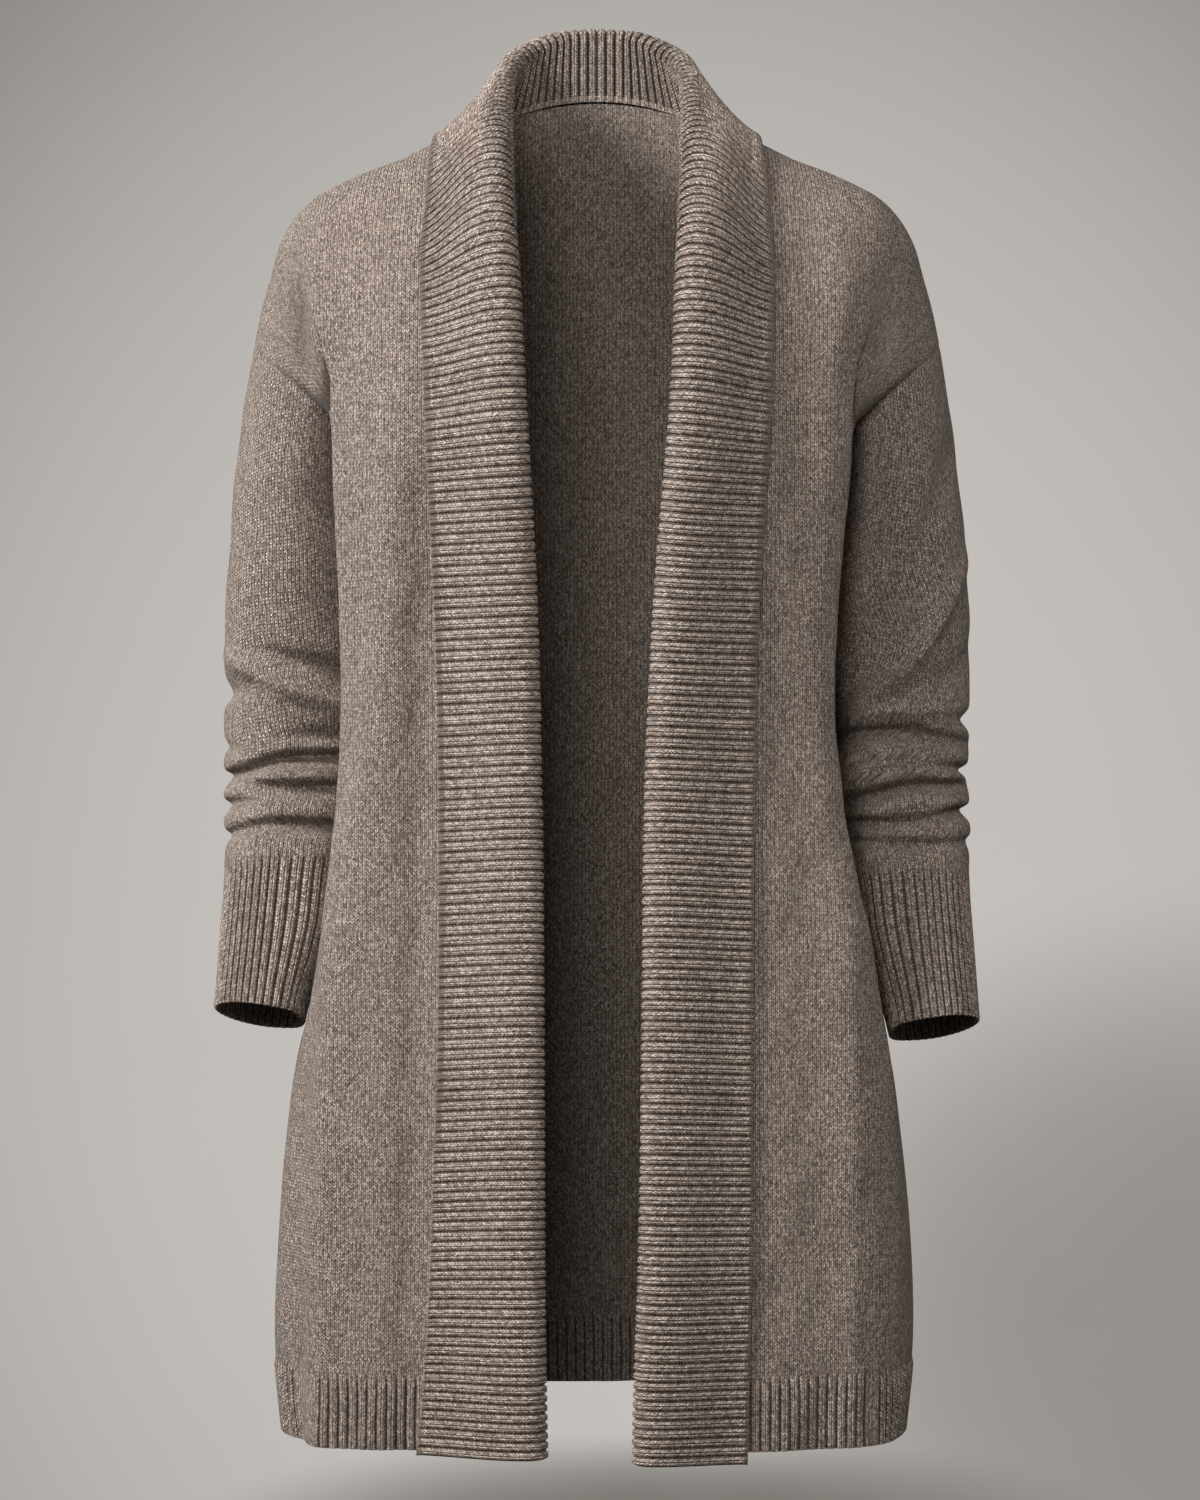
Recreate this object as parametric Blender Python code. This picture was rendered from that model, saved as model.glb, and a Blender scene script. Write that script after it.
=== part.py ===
"""Long shawl collar cardigan, hanging open, filled out as if worn, with no wearer.

Axes: +X to the garment's right side as seen from the front, -Y forward, +Z up. The origin lies between
the shoulders, where they carry the garment. "left" and "right" are as seen from the front: left is -X.
Every piece is a knitted wall between an outer and an inner grid of points.
"""
import math

import bpy
import numpy as np


def table(names, rows):
    """Rows of numbers with named columns."""
    return [dict(zip(names.split(), row)) for row in rows]


# ---------------------------------------------------------------- driving dimensions, metres
CLOTH = 0.0022            # thickness of the stockinette
RIB_CLOTH = 0.0020        # thickness of the rib fabric below its ridges
RIB_RIDGE = 0.0013        # how far a rib stands out
SEAM_GAP = 0.0003         # what two pieces keep between them at a seam
NECK_GAP = 0.0010         # the collar's share of that gap round the back of the neck, where the seam bends
ARMHOLE_GAP = 0.0007      # the sleeve's share at the armhole, which bends under the arm
HEM = -0.8190             # level of the hem
HEM_RIB = 0.0450          # height of the hem rib
UNDERARM = -0.2120        # level of the underarm
BAND_SEAM = 0.0810        # half width between the two seams that carry the band
NECK_TOP = 0.0040         # level of the shoulder seam at the neck
NECK_BACK = (0.0470, 0.0280)   # depth and level of the neck seam at the centre back
NECK_FALL = np.array([0.0, 0.022, -0.055])      # how the back leaves the neck seam at its centre
NECK_FALL_SHARE = 0.45    # share of the half back over which that fades out
SHOULDER_FALL = np.array([0.0, 0.075, 0.0])     # how a front or a back leaves the shoulder seam
CHEST_RISE = np.array([0.0, 0.004, 0.115])      # how it rises from the level of the underarm
ARM_SHARE = 0.66          # share of the shoulder where it starts to bend to the armhole
SIDE_SEAM = 0.0060        # depth of the side seam, a little behind the middle
BACK_NECK_SHARE = 0.30    # share of the half back that lies under the collar at the top
RIB_LIFT = 0.0018         # how far the band's free edge stands off the fronts
HEM_PITCH = 0.0061        # one rib of the hem
CUFF_RIBS = 32            # ribs round a cuff

# Torso sections. The widths are half widths: "corner" where a front turns back, "side" at the side seam.
TORSO = table("z left right side_l side_r front back square", [
    (-0.819, 0.1985, 0.1945, 0.1985, 0.1945, 0.131, 0.128, 3.8),
    (-0.765, 0.2035, 0.1997, 0.2035, 0.1997, 0.128, 0.126, 3.8),
    (-0.700, 0.2015, 0.1985, 0.2015, 0.1985, 0.124, 0.121, 3.7),
    (-0.640, 0.1970, 0.1930, 0.1970, 0.1930, 0.120, 0.117, 3.7),
    (-0.580, 0.1895, 0.1850, 0.1880, 0.1840, 0.115, 0.112, 3.8),
    (-0.530, 0.1820, 0.1765, 0.1700, 0.1670, 0.111, 0.106, 4.0),
    (-0.480, 0.1760, 0.1685, 0.1580, 0.1550, 0.107, 0.101, 4.2),
    (-0.425, 0.1720, 0.1600, 0.1490, 0.1480, 0.103, 0.097, 4.3),
    (-0.362, 0.1700, 0.1550, 0.1470, 0.1465, 0.101, 0.095, 4.3),
    (-0.290, 0.1710, 0.1590, 0.1470, 0.1470, 0.105, 0.099, 4.2),
    (-0.212, 0.1730, 0.1650, 0.1480, 0.1480, 0.113, 0.104, 4.0),
])
BACK_SQUARE = 2.6         # how square the back half of a section is
CORNER_TURN = (-0.078, -0.022)   # depths between which a front turns in to the side seam

# Shoulder seam, from the neck over the dropped shoulder to the top of the armhole.
SHOULDER = table("out up", [
    (0.0810,  0.0040),
    (0.1050, -0.0070),
    (0.1261, -0.0173),
    (0.1453, -0.0245),
    (0.1645, -0.0333),
    (0.1800, -0.0420),
    (0.1935, -0.0560),
    (0.2020, -0.0710),
    (0.2085, -0.0920),
    (0.2145, -0.1130),
    (0.2190, -0.1344),
])
ARMHOLE_LOW = np.array([0.0, 0.078, 0.020])     # how the armhole's curve leaves the underarm
ARMHOLE_HIGH = np.array([0.0, 0.092, -0.010])   # and how it comes down from the shoulder

# Soft folds of the body, each a ridge (height over 0) or a trough along a slanted line.
BODY_FOLDS = table("side half top x_top bottom x_bottom height width", [
    (-1, -1, -0.10, 0.128, -0.86, 0.160,  0.0060, 0.020),
    (-1, -1, -0.22, 0.106, -0.90, 0.118, -0.0050, 0.014),
    (-1, -1, -0.45, 0.178, -0.90, 0.177, -0.0050, 0.014),
    ( 1, -1, -0.06, 0.146, -0.42, 0.130,  0.0050, 0.016),
    ( 1, -1, -0.08, 0.114, -0.90, 0.112, -0.0060, 0.012),
    ( 1, -1, -0.46, 0.155, -0.90, 0.163,  0.0060, 0.018),
    (-1,  1, -0.34, 0.050, -0.92, 0.075,  0.0080, 0.026),
    ( 1,  1, -0.38, 0.030, -0.92, 0.052,  0.0070, 0.024),
    (-1,  1, -0.40, 0.112, -0.92, 0.135, -0.0060, 0.020),
    ( 1,  1, -0.36, 0.108, -0.92, 0.128, -0.0060, 0.022),
])

# Left sleeve from armhole to cuff edge: its outer and inner edges, middle, half depth and forward lean.
SLEEVE = table("out up_out inn up_in y deep lean", [
    (0.2190, -0.1344, 0.1480, -0.2120,  0.006, 0.066, 0.00),
    (0.2272, -0.1824, 0.1560, -0.2400,  0.008, 0.062, 0.00),
    (0.2330, -0.2300, 0.1565, -0.2700,  0.011, 0.059, 0.00),
    (0.2375, -0.2800, 0.1565, -0.3020,  0.014, 0.056, 0.00),
    (0.2405, -0.3250, 0.1560, -0.3370,  0.017, 0.053, 0.04),
    (0.2405, -0.3650, 0.1550, -0.3690,  0.017, 0.050, 0.10),
    (0.2400, -0.4000, 0.1580, -0.3990,  0.012, 0.046, 0.18),
    (0.2395, -0.4350, 0.1650, -0.4320,  0.003, 0.041, 0.25),
    (0.2375, -0.4705, 0.1725, -0.4690, -0.008, 0.037, 0.28),
    (0.2395, -0.5150, 0.1775, -0.5170, -0.021, 0.036, 0.28),
    (0.2415, -0.5570, 0.1840, -0.5650, -0.034, 0.036, 0.28),
])
SLEEVE_ROWS_TO_CUFF = 8   # row of the table where the sleeve ends and the cuff starts
RIGHT_SLEEVE_DROP = 0.008 # the right forearm hangs this much lower
# Folds pushed up above the cuffs: levels at the outer edge, the front and the inner edge.
SLEEVE_FOLDS = table("side outer front inner depth width", [
    (-1, -0.3577, -0.3600, -0.3800, 0.0046, 0.0070),
    (-1, -0.3936, -0.3990, -0.3960, 0.0046, 0.0070),
    (-1, -0.4260, -0.4150, -0.4150, 0.0040, 0.0064),
    (-1, -0.4480, -0.4400, -0.4410, 0.0035, 0.0060),
    ( 1, -0.3800, -0.3650, -0.3560, 0.0046, 0.0070),
    ( 1, -0.4080, -0.4130, -0.4250, 0.0046, 0.0070),
    ( 1, -0.4310, -0.4360, -0.4400, 0.0036, 0.0064),
    ( 1, -0.4560, -0.4530, -0.4530, 0.0030, 0.0060),
])

# Shawl collar, from hem to centre back. The roll is its folded inner edge and the free edge its outer one.
# "seam" is the distance from the hem along the seam that carries it; the free edge is laid on the panels.
COLLAR_LEFT = table("seam roll_x roll_y roll_z free_x free_y free_z round", [
    (0.000, 0.0290, -0.142, -0.8205, 0.1095, -0.13, -0.8205, 0.0085),
    (0.050, 0.0300, -0.140, -0.7690, 0.1050, -0.13, -0.7700, 0.0085),
    (0.135, 0.0308, -0.135, -0.6820, 0.1015, -0.13, -0.6850, 0.0085),
    (0.265, 0.0315, -0.124, -0.5530, 0.0980, -0.12, -0.5550, 0.0085),
    (0.395, 0.0328, -0.114, -0.4230, 0.0983, -0.11, -0.4250, 0.0085),
    (0.515, 0.0357, -0.114, -0.3030, 0.1012, -0.11, -0.3060, 0.0090),
    (0.635, 0.0421, -0.124, -0.1810, 0.1070, -0.12, -0.1870, 0.0095),
    (0.705, 0.0462, -0.121, -0.1095, 0.1093, -0.11, -0.1200, 0.0100),
    (0.740, 0.0490, -0.106, -0.0680, 0.1080, -0.09, -0.0900, 0.0105),
    (0.780, 0.0512, -0.076, -0.0250, 0.1015, -0.06, -0.0620, 0.0092),
    (0.825, 0.0527, -0.036,  0.0130, 0.0970, -0.03, -0.0280, 0.0062),
    (0.868, 0.0540,  0.004,  0.0440, 0.0985, 0.005, -0.0070, 0.0046),
    (0.902, 0.0480,  0.034,  0.0635, 0.0850, 0.043, -0.0050, 0.0046),
    (0.929, 0.0280,  0.051,  0.0757, 0.0500, 0.066,  0.0070, 0.0048),
    (0.955, 0.0000,  0.056,  0.0787, 0.0000, 0.072,  0.0120, 0.0052),
])
COLLAR_RIGHT_CHANGES = table("roll_x roll_z free_x free_z", [
    (0.0208, -0.8240, 0.0910, -0.8260),
    (0.0220, -0.7720, 0.0925, -0.7740),
    (0.0250, -0.6840, 0.0950, -0.6860),
    (0.0270, -0.5530, 0.0958, -0.5550),
    (0.0286, -0.4230, 0.0978, -0.4250),
    (0.0341, -0.3030, 0.1012, -0.3060),
    (0.0438, -0.1810, 0.1085, -0.1870),
    (0.0472, -0.1095, 0.1100, -0.1200),
])
COLLAR_PITCH = table("z pitch", [
    (-0.83, 0.0055),
    (-0.60, 0.0062),
    (-0.40, 0.0065),
    (-0.15, 0.0067),
    ( 0.10, 0.0065),
])

# Shares and heights that shape the surfaces
FOLD_START = 0.35         # share of a body fold's length over which it rises
SIDE_FADE = 0.12          # share of a half body beside the side seam where folds fade out
BAND_FADE = 0.08          # and beside the band
YOKE_FADE = (1.3, 1.8)    # heights between which they fade out towards the shoulder
BACK_SHIFT = 0.0040       # how far the shoulder seam's end lies behind the middle
SLEEVE_CROWD = (0.30, 0.53)   # share of the sleeve's rings that reach this share of its length
SLEEVE_FADE = (0.10, 0.97)    # shares of the sleeve between which its folds are at full depth
BACK_SOFTER = 0.65        # depth of a sleeve's fold at its middle, beside 1 at the outer edge
DROP_ROWS = (1.0, 7.0)    # rows of the sleeve's table between which the right one drops

# Numbers of steps in the grids
LOW_ROWS = 7              # rows from hem rib to underarm
ARM_ROWS = 8              # rows from underarm to shoulder
SHOULDER_STEPS = 8        # columns across a front
NECK_STEPS = 5            # columns across half the back neck
SLEEVE_STEPS = 15         # rings of a sleeve
DENSE = 400               # points of a curve that is measured before it is divided
ROLL_STEPS = 3            # facets round the roll of the collar
FACE_SHARES = (0.64, 1.0)     # columns across the collar's face, close to its flat selvage
PLAIN_RIBS = (6.0, 1.8)     # ribs to one row of the collar's plain side, on the fronts and at the neck
NECK_BEND = -0.150        # level where the collar starts to bend towards the neck

KNIT = (0.32, 0.26, 0.22, 1.0)
KNIT_DARK = (0.29, 0.235, 0.20, 1.0)


# ---------------------------------------------------------------- small tools
def column(table, name):
    return np.array([row[name] for row in table], float)


def smooth(knots, values, at):
    """A smooth curve through the values at the knots."""
    knots, values, at = np.asarray(knots, float), np.asarray(values, float), np.asarray(at, float)
    slope = np.gradient(values, knots, axis=0)
    i = np.clip(np.searchsorted(knots, at) - 1, 0, len(knots) - 2)
    step = knots[i + 1] - knots[i]
    t = np.clip((at - knots[i]) / step, 0.0, 1.0)
    if values.ndim > 1:
        step, t = step[..., None], t[..., None]
    return ((1 + 2 * t) * (1 - t) ** 2 * values[i] + t * (1 - t) ** 2 * step * slope[i]
            + t * t * (3 - 2 * t) * values[i + 1] + t * t * (t - 1) * step * slope[i + 1])


def ramp(low, high, at):
    t = np.clip((np.asarray(at, float) - low) / (high - low), 0.0, 1.0)
    return t * t * (3 - 2 * t)


def unit(v):
    return v / np.linalg.norm(v, axis=-1, keepdims=True)


def lengths(points):
    return np.concatenate([[0.0], np.cumsum(np.linalg.norm(np.diff(points, axis=0), axis=1))])


def bezier(p0, p1, p2, p3, t):
    t = np.asarray(t, float)[..., None]
    return (1 - t) ** 3 * p0 + 3 * t * (1 - t) ** 2 * p1 + 3 * t * t * (1 - t) * p2 + t ** 3 * p3


def normals(grid, outward):
    """Unit normals of a grid of points, turned to the side that "outward" points to on average."""
    n = unit(np.cross(np.gradient(grid, axis=0), np.gradient(grid, axis=1)))
    return n if np.sum(n * outward) > 0 else -n


def pull(grid, distance, first_row=0, last_row=0, first_col=0, last_col=0):
    """Draws the named edges of a grid in along the cloth by a distance."""
    grid = grid.copy()
    if first_row:
        grid[0] += distance * unit(grid[1] - grid[0])
    if last_row:
        grid[-1] += distance * unit(grid[-2] - grid[-1])
    if first_col:
        grid[:, 0] += distance * unit(grid[:, 1] - grid[:, 0])
    if last_col:
        grid[:, -1] += distance * unit(grid[:, -2] - grid[:, -1])
    return grid


# ---------------------------------------------------------------- meshes
class Wall:
    """A closed wall made of grids of points that share their edges."""

    def __init__(self):
        self.points, self.faces = [], []

    def grid(self, points, flip=False, loop=False):
        rows, cols = points.shape[:2]
        start = len(self.points)
        self.points.extend(points.reshape(-1, 3).tolist())
        index = start + np.arange(rows * cols).reshape(rows, cols)
        across = range(cols if loop else cols - 1)
        for r in range(rows - 1):
            for c in across:
                d = (c + 1) % cols
                quad = [index[r, c], index[r, d], index[r + 1, d], index[r + 1, c]]
                self.faces.append(quad[::-1] if flip else quad)
        return index

    def bridge(self, a, b, flip=False):
        """Joins two lines of points, which may have different counts, with a strip of faces."""
        along_a, along_b = (lengths(np.array([self.points[i] for i in line])) for line in (a, b))
        along_a, along_b = np.append(along_a / along_a[-1], 2.0), np.append(along_b / along_b[-1], 2.0)
        i = j = 0
        while i < len(a) - 1 or j < len(b) - 1:
            next_a, next_b = along_a[i + 1], along_b[j + 1]
            if abs(next_a - next_b) < 1e-4:
                face = [a[i], a[i + 1], b[j + 1], b[j]]
                i, j = i + 1, j + 1
            elif next_a < next_b:
                face = [a[i], a[i + 1], b[j]]
                i += 1
            else:
                face = [a[i], b[j + 1], b[j]]
                j += 1
            self.faces.append(face[::-1] if flip else face)

    def rims(self, outer, inner, loop=False):
        if loop:
            ring = [np.append(line, line[0]) for line in (outer[0], inner[0], outer[-1], inner[-1])]
            self.bridge(ring[0], ring[1], flip=True)
            self.bridge(ring[2], ring[3])
            return
        self.bridge(outer[0], inner[0], flip=True)
        self.bridge(outer[-1], inner[-1])
        self.bridge(outer[:, 0], inner[:, 0])
        self.bridge(outer[:, -1], inner[:, -1], flip=True)

    def build(self, name, collection, colour):
        mesh = bpy.data.meshes.new(name)
        mesh.from_pydata(self.points, [], [[int(i) for i in face] for face in self.faces])
        mesh.validate()
        if volume(mesh) < 0:
            mesh.flip_normals()
        obj = bpy.data.objects.new(name, mesh)
        collection.objects.link(obj)
        material = bpy.data.materials.new(name)
        material.use_nodes = True
        shader = material.node_tree.nodes["Principled BSDF"]
        shader.inputs["Base Color"].default_value = colour
        shader.inputs["Roughness"].default_value = 0.95
        shader.inputs["Metallic"].default_value = 0.0
        mesh.materials.append(material)
        return obj


def volume(mesh):
    mesh.calc_loop_triangles()
    total = 0.0
    for triangle in mesh.loop_triangles:
        a, b, c = (mesh.vertices[i].co for i in triangle.vertices)
        total += a.dot(b.cross(c)) / 6.0
    return total


def wall(name, collection, outer, inner, colour, loop=False):
    body = Wall()
    outside = body.grid(outer, loop=loop)
    inside = body.grid(inner, flip=True, loop=loop)
    body.rims(outside, inside, loop=loop)
    return body.build(name, collection, colour)


# ---------------------------------------------------------------- torso
def torso_size(name, z):
    rows = sorted(TORSO, key=lambda row: row["z"])
    return smooth(column(rows, "z"), column(rows, name), z)


def torso_section(side, half, z, share):
    """Points of a level section. share runs from the band seam, or the centre back, to the side seam."""
    deep = torso_size("front" if half < 0 else "back", z)
    wide = torso_size("side_l" if side < 0 else "side_r", z)
    square = BACK_SQUARE
    first = 0.0 * z
    if half < 0:
        square = torso_size("square", z)
        corner = torso_size("left" if side < 0 else "right", z)
        first = np.arcsin((BAND_SEAM / corner) ** (square / 2))
    angle = first + share * (math.pi / 2 - first)
    y = SIDE_SEAM + half * (deep + half * -SIDE_SEAM) * np.clip(np.cos(angle), 0, 1) ** (2 / square)
    x = np.sin(angle) ** (2 / square)
    if half < 0:
        x = x * corner - (corner - wide) * ramp(*CORNER_TURN, y)
    else:
        x = x * wide
    return np.stack([side * x, y, z + 0.0 * x], axis=-1)


def shoulder_seam(share):
    line = np.stack([column(SHOULDER, "out"), column(SHOULDER, "up")], axis=1)
    return smooth(lengths(line) / lengths(line)[-1], line, share)


def back_neck(share):
    """Neck seam from the centre back, share 0, to the shoulder seam, share 1: half width, depth, level."""
    angle = share * math.pi / 2
    deep, high = NECK_BACK
    return (BAND_SEAM * np.sin(angle), deep * np.cos(angle),
            NECK_TOP + (high - NECK_TOP) * np.cos(angle) ** 2)


def panel_point(side, half, share, height):
    """A point of the outer surface. height is 0 to 1 from the hem rib to the underarm, then 1 to 2."""
    if height <= 1.0:
        z = (HEM + HEM_RIB) + height * (UNDERARM - HEM - HEM_RIB)
        return torso_section(side, half, np.array(z), np.array(share))
    foot = torso_section(side, half, np.array(UNDERARM), np.array(share))
    beyond = share if half < 0 else max(0.0, (share - BACK_NECK_SHARE) / (1 - BACK_NECK_SHARE))
    out, up = shoulder_seam(beyond)
    top = np.array([side * out, BACK_SHIFT * ramp(0.5, 1.0, beyond), up])
    turned = np.array([1, half, 1])
    reach = SHOULDER_FALL * turned
    if half > 0:
        reach = NECK_FALL + ramp(0, NECK_FALL_SHARE, share) * (reach - NECK_FALL)
        if share < BACK_NECK_SHARE:
            x, y, z = back_neck(share / BACK_NECK_SHARE)
            top = np.array([side * x, y, z])
    at_arm = ramp(ARM_SHARE, 1.0, beyond)
    reach = reach + at_arm * (ARMHOLE_HIGH * turned - reach)
    rise = CHEST_RISE * turned
    rise = rise + at_arm * (ARMHOLE_LOW * turned - rise)
    return bezier(foot, foot + rise, top + reach, top, height - 1.0)


def fold_height(side, half, x, z):
    total = 0.0 * x
    for fold in BODY_FOLDS:
        if fold["side"] != side or fold["half"] != half:
            continue
        down = (z - fold["top"]) / (fold["bottom"] - fold["top"])
        line = fold["x_top"] + down * (fold["x_bottom"] - fold["x_top"])
        fade = ramp(0.0, FOLD_START, down)
        total = total + fold["height"] * fade * np.exp(-((abs(x) - line) / fold["width"]) ** 2)
    return total


def fold_room(half, share):
    """1 where folds are free, down to 0 at the side seam and, on a front, at the band."""
    band = ramp(0, BAND_FADE, share) if half < 0 else 1.0
    return band * ramp(0, SIDE_FADE, 1 - share)


def arm_normals(half, count):
    """Normals along the armhole, from the underarm to the shoulder, shared by the body and the sleeve."""
    angle = np.linspace(0, math.pi, count)[:, None]
    low, front, high = np.array([0.0, 0, -1.0]), np.array([0.25, half * 0.97, 0]), np.array([0.83, 0, 0.5])
    mix = np.clip(np.cos(angle), 0, 1) * low + np.sin(angle) * front - np.clip(np.cos(angle), -1, 0) * high
    return unit(mix)


def panel(side, half):
    """Outer points and normals of half a body: rows from hem rib to shoulder, columns out to the side."""
    heights = np.concatenate([np.linspace(0, 1, LOW_ROWS + 1), 1 + np.linspace(0, 1, ARM_ROWS + 1)[1:]])
    shares = np.linspace(0, 1, SHOULDER_STEPS + 1)
    if half > 0:
        shares = BACK_NECK_SHARE + (1 - BACK_NECK_SHARE) * shares
        shares = np.concatenate([np.linspace(0, BACK_NECK_SHARE, NECK_STEPS + 1)[:-1], shares])
    grid = np.array([[panel_point(side, half, s, h) for s in shares] for h in heights])
    n = normals(grid, np.array([0, half, 0.0]))
    n[0, :, 2] = 0.0
    n[0] = unit(n[0])
    away = fold_room(half, shares) * (1 - ramp(*YOKE_FADE, heights))[:, None]
    grid = grid + n * (away * fold_height(side, half, grid[..., 0], grid[..., 2]))[..., None]
    n = normals(grid, np.array([0, half, 0.0]))
    mirror = np.array([side, 1, 1])
    n[0, :, 2] = 0.0
    n[:, -1] = (side, 0, 0)
    n[LOW_ROWS:, -1] = arm_normals(half, ARM_ROWS + 1) * mirror
    line = grid[-1][:, [0, 2]]
    across = unit(np.gradient(line, axis=0))
    seam = np.stack([-across[:, 1], 0 * across[:, 0], across[:, 0]], axis=1)
    seam[seam[:, 2] < 0] *= -1
    if half > 0:
        neck = slice(0, NECK_STEPS)
        seam[neck] = n[-1, neck]
    n[-1, :-1] = seam[:-1]
    n[:, 0, 0] = 0.0
    return grid, unit(n)


def make_front(side, collection):
    grid, n = panel(side, -1)
    half_gap = SEAM_GAP / 2
    edges = dict(first_row=1, last_row=1, first_col=1, last_col=1)
    outer = pull(grid, half_gap, **edges)
    inner = pull(grid - CLOTH * n, half_gap, **edges)
    name = "front_left" if side < 0 else "front_right"
    wall(name, collection, outer, inner, KNIT)


def make_back(collection):
    left, left_n = panel(-1, 1)
    right, right_n = panel(1, 1)
    grid = np.concatenate([left[:, ::-1], right[:, 1:]], axis=1)
    n = np.concatenate([left_n[:, ::-1], right_n[:, 1:]], axis=1)
    middle = left.shape[1] - 1
    n[:, middle] = unit(left_n[:, 0] + right_n[:, 0])
    edges = dict(first_row=1, last_row=1, first_col=1, last_col=1)
    outer = pull(grid, SEAM_GAP / 2, **edges)
    inner = pull(grid - CLOTH * n, SEAM_GAP / 2, **edges)
    wall("back", collection, outer, inner, KNIT)


# ---------------------------------------------------------------- hem ribs
def hem_line(side, half, z):
    """A dense section of the hem with its folds, from the band seam or centre back to the side seam."""
    share = np.linspace(0, 1, DENSE)
    line = torso_section(side, half, z + 0 * share, share)
    along = np.gradient(line, axis=0)
    out = unit(np.stack([along[:, 1], -along[:, 0], 0 * along[:, 0]], axis=1))
    out *= np.sign(np.sum(out[DENSE // 2] * line[DENSE // 2]))
    return line + out * (fold_room(half, share) * fold_height(side, half, line[:, 0], line[:, 2]))[:, None]


def rib_wall(name, collection, lines, out_at_ends, colour, ends=(1, 1)):
    """A wall through level lines, with ribs up its outer side."""
    count = int(round(lengths(lines[0])[-1] / HEM_PITCH))
    outer, inner = [], []
    for line in lines:
        along = lengths(line) / lengths(line)[-1]
        tangent = np.gradient(line, axis=0)
        out = unit(np.stack([tangent[:, 1], -tangent[:, 0], 0 * tangent[:, 0]], axis=1))
        out[0], out[-1] = out_at_ends
        fine, plain = np.linspace(0, 1, 2 * count + 1), np.linspace(0, 1, count + 1)

        def at(where, what):
            return np.stack([np.interp(where, along, what[:, k]) for k in range(3)], axis=1)

        ridge = RIB_RIDGE * (np.arange(2 * count + 1) % 2)[:, None]
        outer.append(at(fine, line) + ridge * unit(at(fine, out)))
        inner.append(at(plain, line) - RIB_CLOTH * unit(at(plain, out)))
    edges = dict(last_row=1, first_col=ends[0], last_col=ends[1])
    outer = pull(np.array(outer), SEAM_GAP / 2, **edges)
    inner = pull(np.array(inner), SEAM_GAP / 2, **edges)
    wall(name, collection, outer, inner, colour)


def make_hems(collection):
    levels = np.linspace(HEM, HEM + HEM_RIB, 2)
    backs = []
    for z in levels:
        left, right = hem_line(-1, 1, z), hem_line(1, 1, z)
        backs.append(np.concatenate([right[::-1], left[1:]]))
    ends = (np.array([1.0, 0, 0]), np.array([-1.0, 0, 0]))
    rib_wall("hem_rib_back", collection, backs, ends, KNIT_DARK)
    for side, name in ((-1, "hem_rib_front_left"), (1, "hem_rib_front_right")):
        lines = [hem_line(side, -1, z) for z in levels]
        if side < 0:
            lines = [line[::-1] for line in lines]
            ends = (np.array([-1.0, 0, 0]), np.array([0.0, -1, 0]))
        else:
            ends = (np.array([0.0, -1, 0]), np.array([1.0, 0, 0]))
        rib_wall(name, collection, lines, ends, KNIT_DARK)


# ---------------------------------------------------------------- sleeves and cuffs
def sleeve_frame(side, row):
    """Middle and two half axes of the sleeve's ring at a place along its table."""
    def value(name):
        return smooth(np.arange(len(SLEEVE)), column(SLEEVE, name), row)

    drop = RIGHT_SLEEVE_DROP * ramp(*DROP_ROWS, row) if side > 0 else 0.0
    outer = np.array([side * value("out"), value("y"), value("up_out") - drop])
    inner = np.array([side * value("inn"), value("y"), value("up_in") - drop])
    lean = value("lean")
    forward = value("deep") * np.array([0.0, -math.cos(lean), math.sin(lean)])
    return (outer + inner) / 2, (outer - inner) / 2, forward


def sleeve_ring(side, row, angles):
    """Points round the sleeve. Angle 0 is the outer edge and a quarter turn is the front."""
    middle, across, forward = sleeve_frame(side, row)
    return middle + np.cos(angles)[:, None] * across + np.sin(angles)[:, None] * forward


def armhole(side):
    """The armhole from its top down the front, round the underarm and up the back, with its normals."""
    front = np.array([panel_point(side, -1, 1.0, 1 + t) for t in np.linspace(0, 1, ARM_ROWS + 1)])
    back = np.array([panel_point(side, 1, 1.0, 1 + t) for t in np.linspace(0, 1, ARM_ROWS + 1)])
    mirror = np.array([side, 1, 1])
    front_n, back_n = (arm_normals(half, ARM_ROWS + 1) * mirror for half in (-1, 1))
    points = np.concatenate([front[::-1], back[1:-1]])
    return points, np.concatenate([front_n[::-1], back_n[1:-1]])


def sleeve_fold_depth(side, points, angles):
    total = 0.0 * angles
    toward_outer, toward_front = np.cos(angles), np.sin(angles)
    for fold in SLEEVE_FOLDS:
        if fold["side"] != side:
            continue
        middle = (fold["outer"] + fold["inner"]) / 2
        level = middle + toward_outer * (fold["outer"] - fold["inner"]) / 2
        level = level + toward_front * (fold["front"] - middle)
        soft = BACK_SOFTER + (1 - BACK_SOFTER) * toward_outer
        total = total - soft * fold["depth"] * np.exp(-((points[:, 2] - level) / fold["width"]) ** 2)
    return total


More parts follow.
